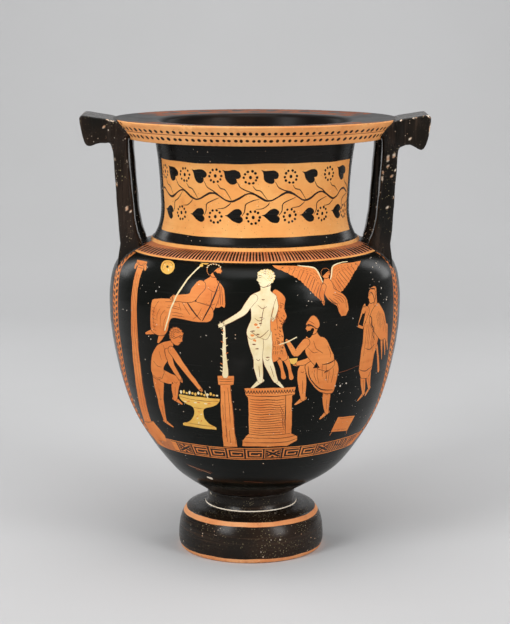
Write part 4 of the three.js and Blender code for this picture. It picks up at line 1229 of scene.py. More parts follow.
class Handle:
    def __init__(self, side, pot_outline):
        self.side = side
        step = 1.0
        r = np.arange(90, 216, step)
        z = np.arange(315, 532, step)
        RR, ZZ = np.meshgrid(r, z, indexing='ij')
        self.pot = polygon_distance(pot_outline, RR, ZZ)
        self.plate = polygon_distance(PLATE if side < 0 else PLATE_RIGHT, RR, ZZ)
        self.r0, self.z0, self.step = 90.0, 315.0, step
        rng = np.random.default_rng(SEED + (1 if side > 0 else 2))
        edge = []
        for k in range(11):
            which = rng.random()
            if which < 0.40:
                t = rng.random()
                edge.append((152 + 46 * t, (-1 if rng.random() < 0.5 else 1) * PLATE_HALF, 515.6 + 4.2 * t, 0.7 + 1.1 * rng.random() ** 2, 1.0))
            elif which < 0.70:
                edge.append((199.6, -PLATE_HALF + 108 * rng.random(), 519 - 1.5 * rng.random(), 0.7 + 1.2 * rng.random() ** 2, 1.0))
            else:
                zz = 380 + 95 * rng.random()
                edge.append((159 + (zz - 430) * 0.06, (-1 if rng.random() < 0.5 else 1) * (COLUMN_OUT if rng.random() < 0.7 else COLUMN_IN), zz, 0.7 + 0.9 * rng.random() ** 2, 1.0))
        # the larger losses on the front columns: x, y, z, radius, how tall for its width
        if side < 0:
            edge += [(147.2, -52.6, 413, 2.3, 1.2), (143.6, -52.4, 416.5, 1.3, 1.0), (142.6, -52.4, 411, 1.4, 1.0), (146.5, -52.4, 434, 1.2, 1.0), (149.5, -52.4, 390, 1.6, 1.0), (153.0, -52.4, 393.5, 0.9, 1.2),
                     (182, -54, 512.5, 1.2, 0.8), (172, -54, 508, 1.0, 1.0), (183, -54, 518.4, 2.0, 0.4), (172, -54, 516.9, 2.0, 0.35)]
        else:
            edge += [(151.5, -52.6, 472, 1.3, 3.6), (152.6, -52.6, 462, 1.1, 3.0), (151.0, -52.6, 443.5, 1.5, 3.2), (153.5, -52.5, 425, 1.3, 1.1), (151.5, -52.5, 414, 1.4, 1.0), (150.0, -52.5, 392, 1.5, 1.2), (143.0, -52.3, 382.5, 1.6, 2.2),
                     (158.5, -52.0, 474, 1.6, 1.3), (156.5, -52.3, 450, 1.1, 1.2), (147.0, -52.4, 430, 1.0, 1.4), (155.0, -52.3, 431, 0.9, 1.2), (156.0, -52.3, 404, 0.9, 1.2), (176.5, -54, 494.5, 1.2, 0.8), (183, -54, 506, 0.8, 1.0),
                     (160, -54.0, 503.5, 1.0, 2.2), (166, -54, 516.3, 2.2, 0.4), (174, -54, 517.2, 2.2, 0.35)]
            for k in range(16):
                edge.append((139 + 15 * rng.random(), -52.0 - 1.2 * rng.random(), 369 + 13 * rng.random(), 0.6 + 0.9 * rng.random(), 1.0 + 0.8 * rng.random()))
        self.chips = [(cx, cy, cz, 0.72 * cr, tall) for cx, cy, cz, cr, tall in edge]

    def field(self, x, y, z):
        ax = x * self.side
        r = np.hypot(x, y)
        # columns: rounded oblongs that lean out a little and widen at both ends
        zc = np.array([330, 356, 372, 385, 402, 431, 478, 489, 500])
        centre = np.interp(z, zc, [148, 146.5, 143.5, 146.2, 148.3, 150.3, 153.6, 155, 156])
        if self.side > 0:
            centre = centre + np.where(y > 0, -2.6, 1.2) * smooth((z - 350) / 40) * smooth((506 - z) / 25)
        half = np.interp(z, zc, [13, 12, 12.6, 10.6, 9.5, 9.1, 8.9, 10.0, 11.5])
        ywide = np.interp(z, zc, [12.0, 12.0, 12.0, 12.0, 11.9, 11.8, 12.0, 12.6, 13.2])
        q1 = np.abs(ax - centre) - half + 4.0
        lean = 8.5 * (1 - smooth((z - 352) / 62))
        q2 = np.abs(np.abs(y) - 0.5 * (COLUMN_OUT + COLUMN_IN) + 0.5 * lean) - (ywide - 0.5 * lean) + 4.0
        col = np.hypot(np.maximum(q1, 0), np.maximum(q2, 0)) + np.minimum(np.maximum(q1, q2), 0) - 4.0
        col = np.maximum(col, z - 506)
        col = np.maximum(col, 336 - z)
        # plate
        d2 = bilinear(self.plate, self.r0, self.z0, self.step, ax - 0.045 * (y + PLATE_HALF), z + 0.012 * (y + PLATE_HALF))
        p1, p2 = d2 + 1.9, np.abs(y) - (PLATE_HALF - 0.02 * np.maximum(ax - 160, 0)) + 1.9
        plate = np.hypot(np.maximum(p1, 0), np.maximum(p2, 0)) + np.minimum(np.maximum(p1, p2), 0) - 1.9
        h = smin(col, plate, 5.0)
        # hand-smoothed, so nothing is quite straight
        h = h + 0.34 * np.sin(0.071 * z + 0.9 * self.side + 0.05 * y) * np.sin(0.06 * ax + 0.083 * y + 0.4) + 0.16 * np.sin(0.19 * z + 0.13 * y)
        pot = bilinear(self.pot, self.r0, self.z0, self.step, r, z)
        f = smin(h, pot + 0.55, 3.4 + 4.0 * smooth((z - 392) / 30) * smooth((478 - z) / 20))
        f = np.maximum(f, -(pot + 2.0))
        f = np.maximum(f, h - 11.0)
        for cx, cy, cz, cr, tall in self.chips:
            m = (np.abs(ax - cx) < 8) & (np.abs(y - cy) < 8) & (np.abs(z - cz) < 12)
            if m.any():
                wide = max(1.0, 0.9 / tall)
                d = np.sqrt(((ax[m] - cx) / wide) ** 2 + ((y[m] - cy) * 1.25) ** 2 + ((z[m] - cz) / tall) ** 2) - cr
                f[m] = smax(f[m], -d, 0.5)
        return f

    def chipped(self, x, y, z):
        ax = x * self.side
        m = np.zeros(len(ax))
        for cx, cy, cz, cr, tall in self.chips:
            wide = max(1.0, 0.9 / tall)
            d = np.sqrt(((ax - cx) / wide) ** 2 + ((y - cy) * 1.25) ** 2 + ((z - cz) / tall) ** 2)
            m = np.maximum(m, (d < cr + 0.35).astype(float))
        return m


def surface_nets(field, lo, hi, step):
    """A closed skin round the region where the field is negative, with one point in each crossed cell."""
    ax = [np.arange(a, b + step, step) for a, b in zip(lo, hi)]
    X, Y, Z = np.meshgrid(*ax, indexing='ij')
    f = field(X.ravel(), Y.ravel(), Z.ravel()).reshape(X.shape)
    n = np.array(f.shape)
    c = [f[i:n[0] - 1 + i, j:n[1] - 1 + j, k:n[2] - 1 + k] for i in (0, 1) for j in (0, 1) for k in (0, 1)]
    neg = sum((v < 0).astype(int) for v in c)
    cell = (neg > 0) & (neg < 8)
    idx = -np.ones(cell.shape, int)
    idx[cell] = np.arange(cell.sum())
    acc = np.zeros((cell.sum(), 3))
    cnt = np.zeros(cell.sum())
    cv = [v[cell] for v in c]
    corners = [(i, j, k) for i in (0, 1) for j in (0, 1) for k in (0, 1)]
    for a in range(8):
        for b in range(a + 1, 8):
            if sum(abs(p - q) for p, q in zip(corners[a], corners[b])) != 1:
                continue
            fa, fb = cv[a], cv[b]
            m = (fa < 0) != (fb < 0)
            t = np.where(m, fa / np.where(fa == fb, 1, fa - fb), 0)
            p = np.array(corners[a])[None] + t[:, None] * (np.array(corners[b]) - np.array(corners[a]))[None]
            acc[m] += p[m]
            cnt[m] += 1
    base = np.argwhere(cell)
    V = (base + acc / cnt[:, None]) * step + np.array([a[0] for a in ax])
    quads = []
    for d in range(3):
        s = [slice(None)] * 3
        a = [slice(1, -1)] * 3
        a[d] = slice(0, -1)
        b = [slice(1, -1)] * 3
        b[d] = slice(1, None)
        fa, fb = f[tuple(a)], f[tuple(b)]
        cross = (fa < 0) != (fb < 0)
        where = np.argwhere(cross)
        flip = (fa < 0)[cross]
        g = where.copy()
        for e in range(3):
            if e != d:
                g[:, e] += 1
        e1, e2 = [e for e in range(3) if e != d]
        def cellat(o1, o2):
            q = g.copy()
            q[:, e1] -= o1
            q[:, e2] -= o2
            return idx[q[:, 0], q[:, 1], q[:, 2]]
        Q = np.stack([cellat(1, 1), cellat(0, 1), cellat(0, 0), cellat(1, 0)], 1)
        if d == 1:
            flip = ~flip
        Q[~flip] = Q[~flip][:, ::-1]
        quads.append(Q)
    return V, np.vstack(quads)


def handle_uv(co, F, no, side):
    """Four flat views of the handle, laid out as a small atlas: front, back, outside and inside, top and underside."""
    fn = np.cross(co[F[:, 1]] - co[F[:, 0]], co[F[:, 2]] - co[F[:, 0]])
    a = np.abs(fn)
    kind = np.where((a[:, 1] >= a[:, 0]) & (a[:, 1] >= a[:, 2]), 0, np.where(a[:, 0] >= a[:, 2], 1, 2))
    sign = np.take_along_axis(fn, np.array([1, 0, 2])[kind][:, None], 1)[:, 0] > 0
    lo, hi = co.min(0), co.max(0)
    d = hi - lo
    uv = np.zeros((len(F), 3, 2))
    P = co[F] - lo
    # cells: x0, y0, width, height in the map, and which two axes lie in it
    wx, wy, wz = d
    unit = 1.0 / (2 * wx + 2 * wy + 12)
    k = min(unit, 0.97 / (wz + wx + 8))
    cells = {(0, False): (0, 0, 0, 2), (0, True): (wx + 3, 0, 0, 2), (1, False): (2 * wx + 6, 0, 1, 2), (1, True): (2 * wx + wy + 9, 0, 1, 2),
             (2, False): (0, wz + 4, 1, 0), (2, True): (wy + 4, wz + 4, 1, 0)}
    for (kk, sg), (x0, y0, e1, e2) in cells.items():
        m = (kind == kk) & (sign == sg)
        uv[m, :, 0] = (x0 + P[m][:, :, e1]) * k + 0.004
        uv[m, :, 1] = (y0 + P[m][:, :, e2]) * k + 0.004
    top = uv.reshape(-1, 2).max(0)
    uv *= np.array([0.99, 0.99]) / np.maximum(top, 1e-6)
    return np.clip(uv, 0.0005, 0.9995)


def make_handle(name, side, outline, step):
    H = Handle(side, outline)
    xs = sorted((side * 108.0, side * 209.0))
    V, Q = surface_nets(H.field, (xs[0], -64.0, 326.0), (xs[1], 64.0, 526.0), step)
    e = 0.6
    def gradient(P):
        g = np.empty_like(P)
        for i in range(3):
            a, b = P.copy(), P.copy()
            a[:, i] += e
            b[:, i] -= e
            g[:, i] = (H.field(*a.T) - H.field(*b.T)) / (2 * e)
        return g
    for _ in range(2):
        g = gradient(V)
        L = np.maximum((g ** 2).sum(1), 0.15)
        V = V - np.clip(H.field(*V.T) / L, -0.6, 0.6)[:, None] * g * 0.9
    g = gradient(V)
    no = g / np.maximum(np.linalg.norm(g, axis=1), 1e-6)[:, None]
    # where the clay is convex the slip has rubbed thin
    e2 = 1.5
    f0 = H.field(*V.T)
    lap = -6 * f0
    for i in range(3):
        for s in (-e2, e2):
            P = V.copy()
            P[:, i] += s
            lap = lap + H.field(*P.T)
    wear = np.clip(lap / (e2 * e2) / 0.5, 0, 1)
    F = np.vstack([Q[:, [0, 1, 2]], Q[:, [0, 2, 3]]])
    area = np.linalg.norm(np.cross(V[F[:, 1]] - V[F[:, 0]], V[F[:, 2]] - V[F[:, 0]]), axis=1)
    uv = handle_uv(V, F, no, side)
    paint = np.full(len(F), HANDLE, int)
    PIECE[0] = 'handle'
    ob = make_mesh(name, V, F, no, paint, uv, {'wear': wear, 'chip': H.chipped(*V.T)})
    return ob


# ---------------------------------------------------------------------------
# Making the pot
# ---------------------------------------------------------------------------
rng = np.random.default_rng(SEED)

seam_i = int(np.searchsorted(BODY_V, SEAM_V))
outer_low, outer_high = BODY_CURVE[:seam_i + 1], BODY_CURVE[seam_i:]
inner_all = inside(BODY_CURVE, WALL)
# the inner wall from the floor's edge up to the neck
up = inner_all[(inner_all[:, 1] > 100.0) | (np.arange(len(inner_all)) > len(inner_all) // 2)]
seam_inner = inner_all[seam_i]
j = int(np.argmin(np.hypot(*(up - seam_inner).T)))
inner_low, inner_high = up[:j + 1], up[j:-8]
neck_inner = inside(NECK_CURVE, NECK_WALL)
neck_inner = neck_inner[neck_inner[:, 1] > inner_high[-1, 1] + 6]

# --- body ---
body = Turned('krater_body', [line([(0, 79), (38, 76.8), (50.5, 72.4), (54.2, 72.1)]), outer_low, line([tuple(outer_low[-1]), tuple(inner_low[-1])]),
                              inner_low[::-1], spline([tuple(inner_low[0]), (66, 90.0), (52, 86.9), (36, 85.1), (16, 84.2), (0, 84)])], 165.0, 0.7)
s_start = body.at(54.2, 72.1)
s_seam = body.at(*outer_low[-1])
s_seam_in = body.at(*inner_low[-1], lo=s_seam)
v0 = BODY_V[0]
belly = body.at(171.5, 299.0, 0, s_seam)
v2s = lambda v: belly + (np.asarray(v) - 299.0)

pic = Picture()
front_scene(pic, rng)
back = Picture()
half = 0.0
back_scene(back, 0.0, rng)

# frames
frames = Picture()
for base in (0.0, math.pi, -math.pi):
    pass
front_frames = Picture()
net_frame(front_frames, -1, 0.0, rng)
net_frame(front_frames, 1, 0.0, rng)


def ring_panel(target, lo, hi, a0, a1, paint=CLAY, steps=60, waver=0.2):
    """A stretch of band between two angles."""
    a = np.linspace(a0, a1, steps)
    t = np.sin(7 * a + 1) * waver + np.sin(17 * a) * waver * 0.6
    t2 = np.sin(6 * a + 2) * waver + np.sin(15 * a + 1) * waver * 0.6
    lo_, hi_ = v2s(lo) + t, v2s(hi) + t2
    target.paint(np.vstack([np.c_[a * target.rref, lo_], np.c_[a * target.rref, hi_][::-1]]), paint)


def lay(target, picture, v_map, r_map, turn=0.0):
    """Lay a picture with its middle at an angle, and wrap what passes the back seam."""
    W = math.pi * target.rref
    for P, paint in picture.layers:
        th = P[:, 0] / r_map(P[:, 1]) + turn
        u = th * target.rref
        Q = np.c_[u, v_map(P[:, 1])]
        mid = 0.5 * (u.min() + u.max())
        for k in (-1, 0, 1):
            lo, hi = u.min() + 2 * W * k, u.max() + 2 * W * k
            if hi <= -W or lo >= W:
                continue
            R = Q + [2 * W * k, 0]
            if lo < -W or hi > W:
                R = clip_u(R, -W, W)
                if len(R) < 3:
                    continue
            target.paint(R, paint)


def clip_u(P, lo, hi):
    """Cut an outline at the sheet's two edges."""
    for limit, keep_less in ((hi, True), (lo, False)):
        out = []
        n = len(P)
        if n == 0:
            break
        for i in range(n):
            a, b = P[i], P[(i + 1) % n]
            ina = a[0] <= limit if keep_less else a[0] >= limit
            inb = b[0] <= limit if keep_less else b[0] >= limit
            if ina:
                out.append(a)
            if ina != inb:
                t = (limit - a[0]) / (b[0] - a[0])
                out.append([limit, a[1] + t * (b[1] - a[1])])
        P = np.array(out) if out else np.zeros((0, 2))
    return P


# the key band runs between the frames on both sides
for turn in (0.0, math.pi):
    strip = Picture()
    n = 80
    lim = frame_angle(140.0) * 1.03
    x = np.linspace(-lim, lim, n)
    wav = 0.22 * np.sin(9 * x) + 0.15 * np.sin(23 * x + 1)
    rb = body_r(137.0)
    strip.layers.append((np.vstack([np.c_[x * body_r(127.6), 127.6 + wav], np.c_[x * body_r(146.4), 146.4 + wav * 0.7][::-1]]), GROUND))
    x = np.linspace(-0.80, lim if turn == 0.0 else 0.86, n)
    wav = 0.22 * np.sin(9 * x) + 0.15 * np.sin(23 * x + 1)
    strip.layers.append((np.vstack([np.c_[x * body_r(127.6), 127.6 + wav], np.c_[x * body_r(146.4), 146.4 + wav * 0.7][::-1]]), CLAY))
    for v, w in ((144.6, 1.1), (129.4, 1.1)):
        strip.layers.append((np.vstack([np.c_[x * body_r(v), v - w / 2 + wav], np.c_[x * body_r(v), v + w / 2 + wav][::-1]]), LINE))
    lay(body, strip, v2s, body_r, turn)
    units = ['x', 'k', 'k', 'k', 'k', 'x', 'k', 'k', 'x'] if turn == 0.0 else ['k', 'k', 'x', 'k', 'k', 'k', 'x', 'k', 'k']
    width = 21.1
    x = -96.8
    keys = Picture()
    for c in units:
        (key_unit if c == 'k' else cross_square)(keys, x, 129.9, width, 14.2, rng)
        x += width
    bars(keys, [(x + 1.0, 129.6), (x + 1.0, 144.6)], 1.9)
    if turn == 0.0:
        # past the last square the painter only filled the band with hasty strokes
        q = x + 4.0
        while q < 150:
            keys.lines([[(q, 130.2 + rng.random()), (q + 0.5, 137), (q + 1.0 - 2.0 * rng.random(), 144.0 - 1.2 * rng.random())]], 2.2 + 0.6 * rng.random(), LINE, 0.2, 1.0)
            if rng.random() < 0.4:
                keys.lines([[(q, 134 + 6 * rng.random()), (q + 3.4, 134 + 6 * rng.random())]], 1.8, LINE, 0.2, 1.0)
            q += 3.5 + 1.4 * rng.random()
    # units are drawn upright, so they are laid at their own middle radius
    lay(body, keys, v2s, lambda v: np.full(np.shape(v), rb), turn)

lay(body, front_frames, v2s, body_r, 0.0)
lay(body, front_frames, v2s, body_r, math.pi)
lay(body, pic, v2s, body_r, 0.0)
lay(body, back, v2s, body_r, math.pi)

# scratches and small losses on the lower wall and in the picture
body.paint(*band(s_start + 0.2, v2s(59.5), body.rref, UNDER, 0.5, 0.7))
marks = Picture()
for P, w, p in (([(-88, 107.6), (-67.5, 103.6), (-50, 99.4)], 0.55, THIN), ([(-84, 105.4), (-66, 101.6), (-53, 97)], 0.4, BARE), ([(-74, 101), (-64, 98.4)], 0.4, THIN),
                ([(98, 238), (116, 241), (132, 243)], 0.4, THIN), ([(-12, 86), (10, 84)], 0.6, THIN)):
    marks.lines([P], w, p)
marks.add(chain([(-57.0, 88.6, 1.2), (-53.5, 87.2, 2.0), (-51.0, 85.4, 1.1)], 4, 3), CREAM, 0.0, 0.4)
for k in range(60):
    x, v = 40 + 110 * rng.random(), 150 + 90 * rng.random()
    marks.add(ellipse(x, v, 0.22 + 0.22 * rng.random(), 0.22 + 0.25 * rng.random(), 0, 6), SPECK, 0, 0)
for k in range(30):
    x, v = -170 + 350 * rng.random(), 96 + 264 * rng.random()
    marks.add(ellipse(x, v, 0.35 + 0.35 * rng.random(), 0.35 + 0.4 * rng.random(), 0, 6), SPECK, 0, 0)
for cx, cv, n in ((163, 356, 8), (158, 330, 4), (178, 312, 7), (52, 322, 4), (104, 222, 5), (-128, 334, 3), (-176, 300, 3)):
    for k in range(n):
        e = 0.4 + 0.75 * rng.random() ** 2
        marks.add(ellipse(cx + rng.normal(0, 7), min(cv + rng.normal(0, 6), 366), e, e * (0.8 + 0.5 * rng.random()), 0, 7), SPECK, 0, 0)
lay(body, marks, v2s, body_r, 0.0)

PIECE[0] = 'body'
s_floor = body.at(66, 90, lo=s_seam_in)
body_ob = body.build(SLIP, 120, 9.5, [(0, s_start, 0.04, False), (s_start, v2s(124), 0.12, False), (v2s(124), s_seam, 0.66, True), (s_seam, s_seam_in, 0.02, False), (s_seam_in, s_floor, 0.10, False), (s_floor, body.S, 0.06, False)])

# --- shoulder band and neck ---
fillet = line([tuple(outer_high[-1]), (121.4, 374.9), (120.6, 376.9), (118.3, 377.6)], 0.25)
neck = Turned('krater_neck', [outer_high, fillet, NECK_CURVE, line([(117.2, 491), (117.6, 496), (109.2, 496)]), neck_inner[::-1],
                              line([tuple(neck_inner[0]), tuple(inner_high[-1])]), inner_high[::-1], line([tuple(inner_high[0]), tuple(outer_high[0])])], 125.0, 0.5, True)
n_top = neck.at(117.2, 491)
n_waist = neck.at(110.3, 424.0, 0, n_top)
n_joint = neck.at(121.8, 373.4, 0, n_top)
n2s = lambda v: n_waist + (np.asarray(v) - 424.0)
sh2s = lambda v: 0.0 + (np.asarray(v) - SEAM_V)
W = math.pi * neck.rref
# shoulder: brownish ground with dark tongues between the handles, black under them
SH_END = float(BODY_V[-1])
sh_r = body_r
for turn in (0.0, math.pi):
    lim = math.radians(77.5)
    a = np.linspace(-lim, lim, 120)
    patch = Picture()
    lo = SEAM_V + 0.9
    patch.layers.append((np.vstack([np.c_[a * sh_r(lo), np.full(len(a), lo)], np.c_[a * sh_r(SH_END - 0.6), np.full(len(a), SH_END - 0.6)][::-1]]), GROUND))
    mid = lo + 15.5 - 4.0 * smooth((np.abs(a) - 0.4) / 0.8) + 0.6 * np.sin(11 * a)
    patch.layers.append((np.vstack([np.c_[a * sh_r(lo), np.full(len(a), lo)], np.c_[a * sh_r(mid), mid][::-1]]), TONGUE))
    patch.layers.append((np.vstack([np.c_[a * sh_r(lo), np.full(len(a), lo)], np.c_[a * sh_r(lo + 2.4), np.full(len(a), lo + 2.4)][::-1]]), CLAY))
    n = 74
    at_ = [math.asin(math.sin(lim) * (-1 + 2 * (k + 0.5) / n)) for k in range(n)]
    for k, t in enumerate(at_):
        gap = min(0.085, math.sin(lim) * 2 / n / max(math.cos(t), 0.2))
        t = t + 0.10 * gap * (rng.random() - 0.5)
        lean = 0.10 * gap * math.sin(5 * t)
        v = np.linspace(lo + 3.2, SH_END - 1.6 - 7.5 * smooth((abs(t) - 0.45) / 0.7), 5)
        w = np.array([0.19, 0.27, 0.28, 0.25, 0.15]) * gap * (0.92 + 0.3 * rng.random()) * (1 + 0.18 * smooth((abs(t) - 0.3) / 0.5))
        ang = t + lean * (v - v[0]) / 20
        r = sh_r(v)
        patch.layers.append((np.vstack([np.c_[(ang - w) * r, v], np.c_[(ang + w) * r, v][::-1]]), SLIP if rng.random() < 0.94 else THIN))
    lay(neck, patch, sh2s, sh_r, turn)
# reserved fillet line at the neck's foot
neck.paint(*band(n_joint - 0.9, n_joint + 3.6, neck.rref, CLAY, 0.16, 0.7))
# neck panels
for turn in (0.0, math.pi):
    plain = turn != 0.0
    P0 = Picture()
    lo_v, hi_v = 387.0, 473.0
    a0, a1 = math.radians(-71.5), math.radians(73.5)
    a = np.linspace(a0, a1, 70)
    wob = 0.5 * np.sin(4 * a + 0.6) + 0.3 * np.sin(13 * a)
    vv = np.linspace(lo_v, hi_v, 24)
    edge_l = a0 + 0.008 * np.sin(vv * 0.11)
    edge_r = a1 + 0.008 * np.sin(vv * 0.13 + 1)
    top_edge = np.c_[a * neck_r(hi_v), hi_v + wob - 3.0 - 0.3 * (a / 1.25) ** 2]
    low_edge = np.c_[a * neck_r(lo_v), lo_v + 0.7 * wob]
    P0.layers.append((np.vstack([low_edge, np.c_[edge_r * neck_r(vv), vv][1:-1], top_edge[::-1], np.c_[edge_l * neck_r(vv), vv][1:-1][::-1]]), CLAY))
    pitch_leaves = [-110, -66, -26, 17, 66, 120]
    pitch_ros = [-130, -88, -45.5, -5, 41, 94]
    low_leaves = [-119, -68, -22, 20, 64, 111]
    low_ros = [-95, -46, -2, 40, 84, 128]
    if plain:
        pitch_leaves = [-118, -74, -30, 14, 58, 102]
        pitch_ros = [-96, -52, -8, 36, 80, 124]
        low_leaves = [-108, -64, -20, 24, 68, 112]
        low_ros = [-130, -86, -42, 2, 46, 90]
    # the winding stem
    xs = np.arange(a0 * 111 + 1, a1 * 111 - 1, 6.0)
    ys = 432.5 + 4.6 * np.sin(xs / 43.5 * 2 * math.pi + 2.4) + 0.6 * np.sin(xs * 0.05)
    P0.add(chain(np.c_[xs, ys, 1.05 + 0.2 * np.sin(xs * 0.21)], 3, 2), LINE, 0, 0.3)
    stem = lambda x: 432.5 + 4.6 * math.sin(x / 43.5 * 2 * math.pi + 2.4) + 0.6 * math.sin(x * 0.05)
    for x in pitch_leaves:
        s = 9.4 + 0.7 * (rng.random() - 0.5)
        y = 456 + 1.2 * (rng.random() - 0.5)
        P0.add(turned(ivy_leaf(s * 0.97, 0.12), x, y, math.radians(142 + 16 * (rng.random() - 0.5))), SLIP, 0, 0.45, 2.0)
        P0.lines([[(x + 6.0, y - 6.5), (x + 10, y - 13), (x + 17, y - 16.5), (x + 24, stem(x + 27) + 2.5), (x + 27, stem(x + 27))]], 1.25, LINE, 0.3, 0.45)
    for x in pitch_ros:
        y = 455.5 + 1.5 * (rng.random() - 0.5)
        rosette(P0, x, y, 7.3, rng)
        P0.lines([[(x + 2.5, y - 9.5), (x + 6, y - 14), (x + 12, y - 16), (x + 19, stem(x + 21) + 1.0)]], 1.15, LINE, 0.3, 0.45)
    for x in low_leaves:
        s = 9.4 + 0.7 * (rng.random() - 0.5)
        y = 411 + 1.5 * (rng.random() - 0.5)
        P0.add(turned(ivy_leaf(s * 0.92, -0.08), x, y, math.radians(178 + 16 * (rng.random() - 0.5))), SLIP, 0, 0.45, 2.0)
        P0.lines([[(x + 7.5, y), (x + 10.5, y + 5), (x + 11.5, y + 13), (x + 19, y + 17), (x + 27, stem(x + 29) - 1.0)]], 1.25, LINE, 0.3, 0.45)
    for x in low_ros:
        y = 410.5 + 1.5 * (rng.random() - 0.5)
        rosette(P0, x, y, 7.3, rng)
        P0.lines([[(x + 3, y + 9), (x + 11, y + 10), (x + 17, y + 14), (x + 18.5, stem(x + 19) - 1.5)]], 1.15, LINE, 0.3, 0.45)
    # what would pass the panel's ends is covered again by black
    for side, ang in ((-1, a0), (1, a1)):
        e = np.linspace(hi_v + 5, lo_v - 5, 24)
        inner = (edge_l if side < 0 else edge_r)
        inner = np.interp(e, vv, inner)
        P0.layers.append((np.vstack([np.c_[inner * neck_r(e), e], np.c_[(inner + side * 0.16) * neck_r(e), e][::-1]]), SLIP))
    lay(neck, P0, n2s, neck_r, turn)
PIECE[0] = 'neck'
n_cap = neck.at(109.2, 496, lo=n_top)
n_in = neck.at(*inner_high[0], lo=n_cap)
neck_ob = neck.build(SLIP, 108, 8.5, [(0, n_joint, 0.20, True), (n_joint, n_top, 0.56, True), (n_top, n_cap, 0.03, False), (n_cap, n_in, 0.16, False), (n_in, neck.S, 0.03, False)])

# --- lip ---
lip = Turned('krater_lip', [line([(111.5, 492.6), (117.3, 491.2), (146.6, 491.9)]), line([(146.6, 491.9), (149.6, 492.2), (150.4, 493.6), (157.6, 502.6)], 0.2), line([(157.6, 502.6), (157.55, 503.2), (158.3, 503.7)], 0.1),
                            line([(158.3, 503.7), (165.9, 513.0), (165.7, 514.6), (164.2, 515.1)], 0.2), spline([(164.2, 515.1), (150, 513.9), (132, 513.0), (119.5, 512.5)]),
                            spline([(119.5, 512.5), (114.6, 511.9), (111.6, 509.8), (110.2, 506), (108.9, 500), (108.2, 495.2)]), line([(108.2, 495.2), (111.5, 492.6)])], 160.0, 0.35, True)
l_low = lip.at(150.0, 492.9)
l_high = lip.at(165.9, 513.2)
l_groove = lip.at(157.7, 503.1)
l_top0, l_top1 = lip.at(163.6, 515.1), lip.at(118.5, 512.4)
face_len = l_high - l_low
lip.paint(*band(l_low - 0.6, lip.at(164.9, 514.9), lip.rref, CLAY, 0.12, 0.3))
lip.paint(*band(l_groove - 0.35, l_groove + 0.45, lip.rref, THIN, 0.08, 1.1))
for side_ in (-1, 1):
    a = side_ * math.pi / 2 + np.linspace(-0.315, 0.315, 40)
    lip.paint(np.vstack([np.c_[a * lip.rref, np.full(40, l_high - 0.6)], np.c_[a * lip.rref, np.full(40, lip.at(164.9, 514.9) + 0.6)][::-1]]), SLIP)
n_dots = 114
for row, at_ in ((0, l_high - 0.335 * face_len), (1, l_high - 0.735 * face_len)):
    for k in range(n_dots):
        t = 2 * math.pi * (k + 0.5 * row) / n_dots - math.pi + 0.010 * (rng.random() - 0.5) + math.pi / n_dots * 0.5
        t = t - 0.12 * math.sin(2 * t)
        if abs(math.sin(t)) > 0.965:
            continue
        side_on = abs(math.sin(t)) ** 2
        a, b = (1.9 + 0.6 * rng.random() ** 2) * (1 + 0.25 * side_on), (1.9 + 0.7 * rng.random()) * (1 + 0.25 * side_on)
        lip.paint(ellipse(t * lip.rref, at_ + 0.5 * (rng.random() - 0.5), a, b, 0.4 * (rng.random() - 0.5) - 0.9 * math.sin(t), 10), SLIP)
# the top: a reserved band with a row of leaves between the handles
t_mid = 0.5 * (l_top0 + l_top1)
for turn in (0.0, math.pi):
    lim = math.radians(62)
    a = np.linspace(-lim, lim, 90)
    patch = Picture()
    patch.layers.append((np.vstack([np.c_[a * 160, np.full(len(a), l_top0 + 3.0)], np.c_[a * 160, np.full(len(a), l_top1 - 7.0)][::-1]]), TOPBAND))
    m = 15
    for k in range(m):
        t = -lim + 2 * lim * (k + 0.5) / m
        s = 1 if k % 2 else -1
        P = turned(ivy_leaf(8.4), 0, 0, math.radians(200 + 20 * s), 1.0) * [160 / 141.0, 1.0]
        patch.add(P + [t * 160, t_mid + 4.6 * s - 2.2], SLIP, 0, 0.3, 2.0)
        patch.lines([[(t * 160 + 8.5, t_mid + 4.4 * s - 2.2), (t * 160 + 14, t_mid - 2.2), (t * 160 + 20, t_mid - 2.2 - 2.5 * s)]], 1.0, LINE)
    lay(lip, patch, lambda v: np.asarray(v), lambda v: np.full(np.shape(v), 160.0), turn)
PIECE[0] = 'lip'
lip_ob = lip.build(SLIP, 120, 8.5, [(0, l_low - 1.2, 0.10, False), (l_low - 1.2, l_high + 2.0, 0.36, True), (l_high + 2.0, l_top1 + 1.0, 0.40, True), (l_top1 + 1.0, lip.S, 0.10, False)])

# --- foot ---
foot_side = spline([(84.7, 1.0), (86.9, 7.5), (87.4, 15), (86.7, 26), (84.9, 35), (82.0, 42), (78.4, 47.6)])
stem_side = spline([(54.6, 55.8), (53.3, 58), (52.5, 62.5), (52.6, 68), (53.4, 71.5)])
ft = Turned('krater_foot', [spline([(0, 74), (8, 73.8), (16, 72.6), (24, 70.5), (32, 67), (37, 62.5), (40, 57), (44.5, 44), (52, 28), (59.5, 13), (64, 3.2)]), line([(64, 3.2), (65.2, 0.7), (66.5, 0.02), (83.2, 0.0), (84.7, 1.0)], 0.2),
                            foot_side, line([(78.4, 47.6), (77.2, 48.9), (70, 51.5), (58.5, 53.2), (56.2, 53.4), (55.4, 54.0), (55.2, 55.2), (54.6, 55.8)], 0.2), stem_side, line([(53.4, 71.5), (50, 74.4), (30, 75.6), (0, 76.3)])], 84.0, 0.45)
f_edge = ft.at(84.7, 1.0)
f_sh = ft.at(78.4, 47.6)
f_stem = ft.at(54.6, 55.8)
ft.paint(ellipse(-1.16 * ft.rref, ft.at(53.6, 67.5), 3.4, 1.3, -0.3, 9), CREAM)
f_endstem = ft.at(53.4, 71.5)
ft.paint(*band(f_edge - 0.2, f_edge + 4.5, ft.rref, CLAY, 0.55, 0.2))
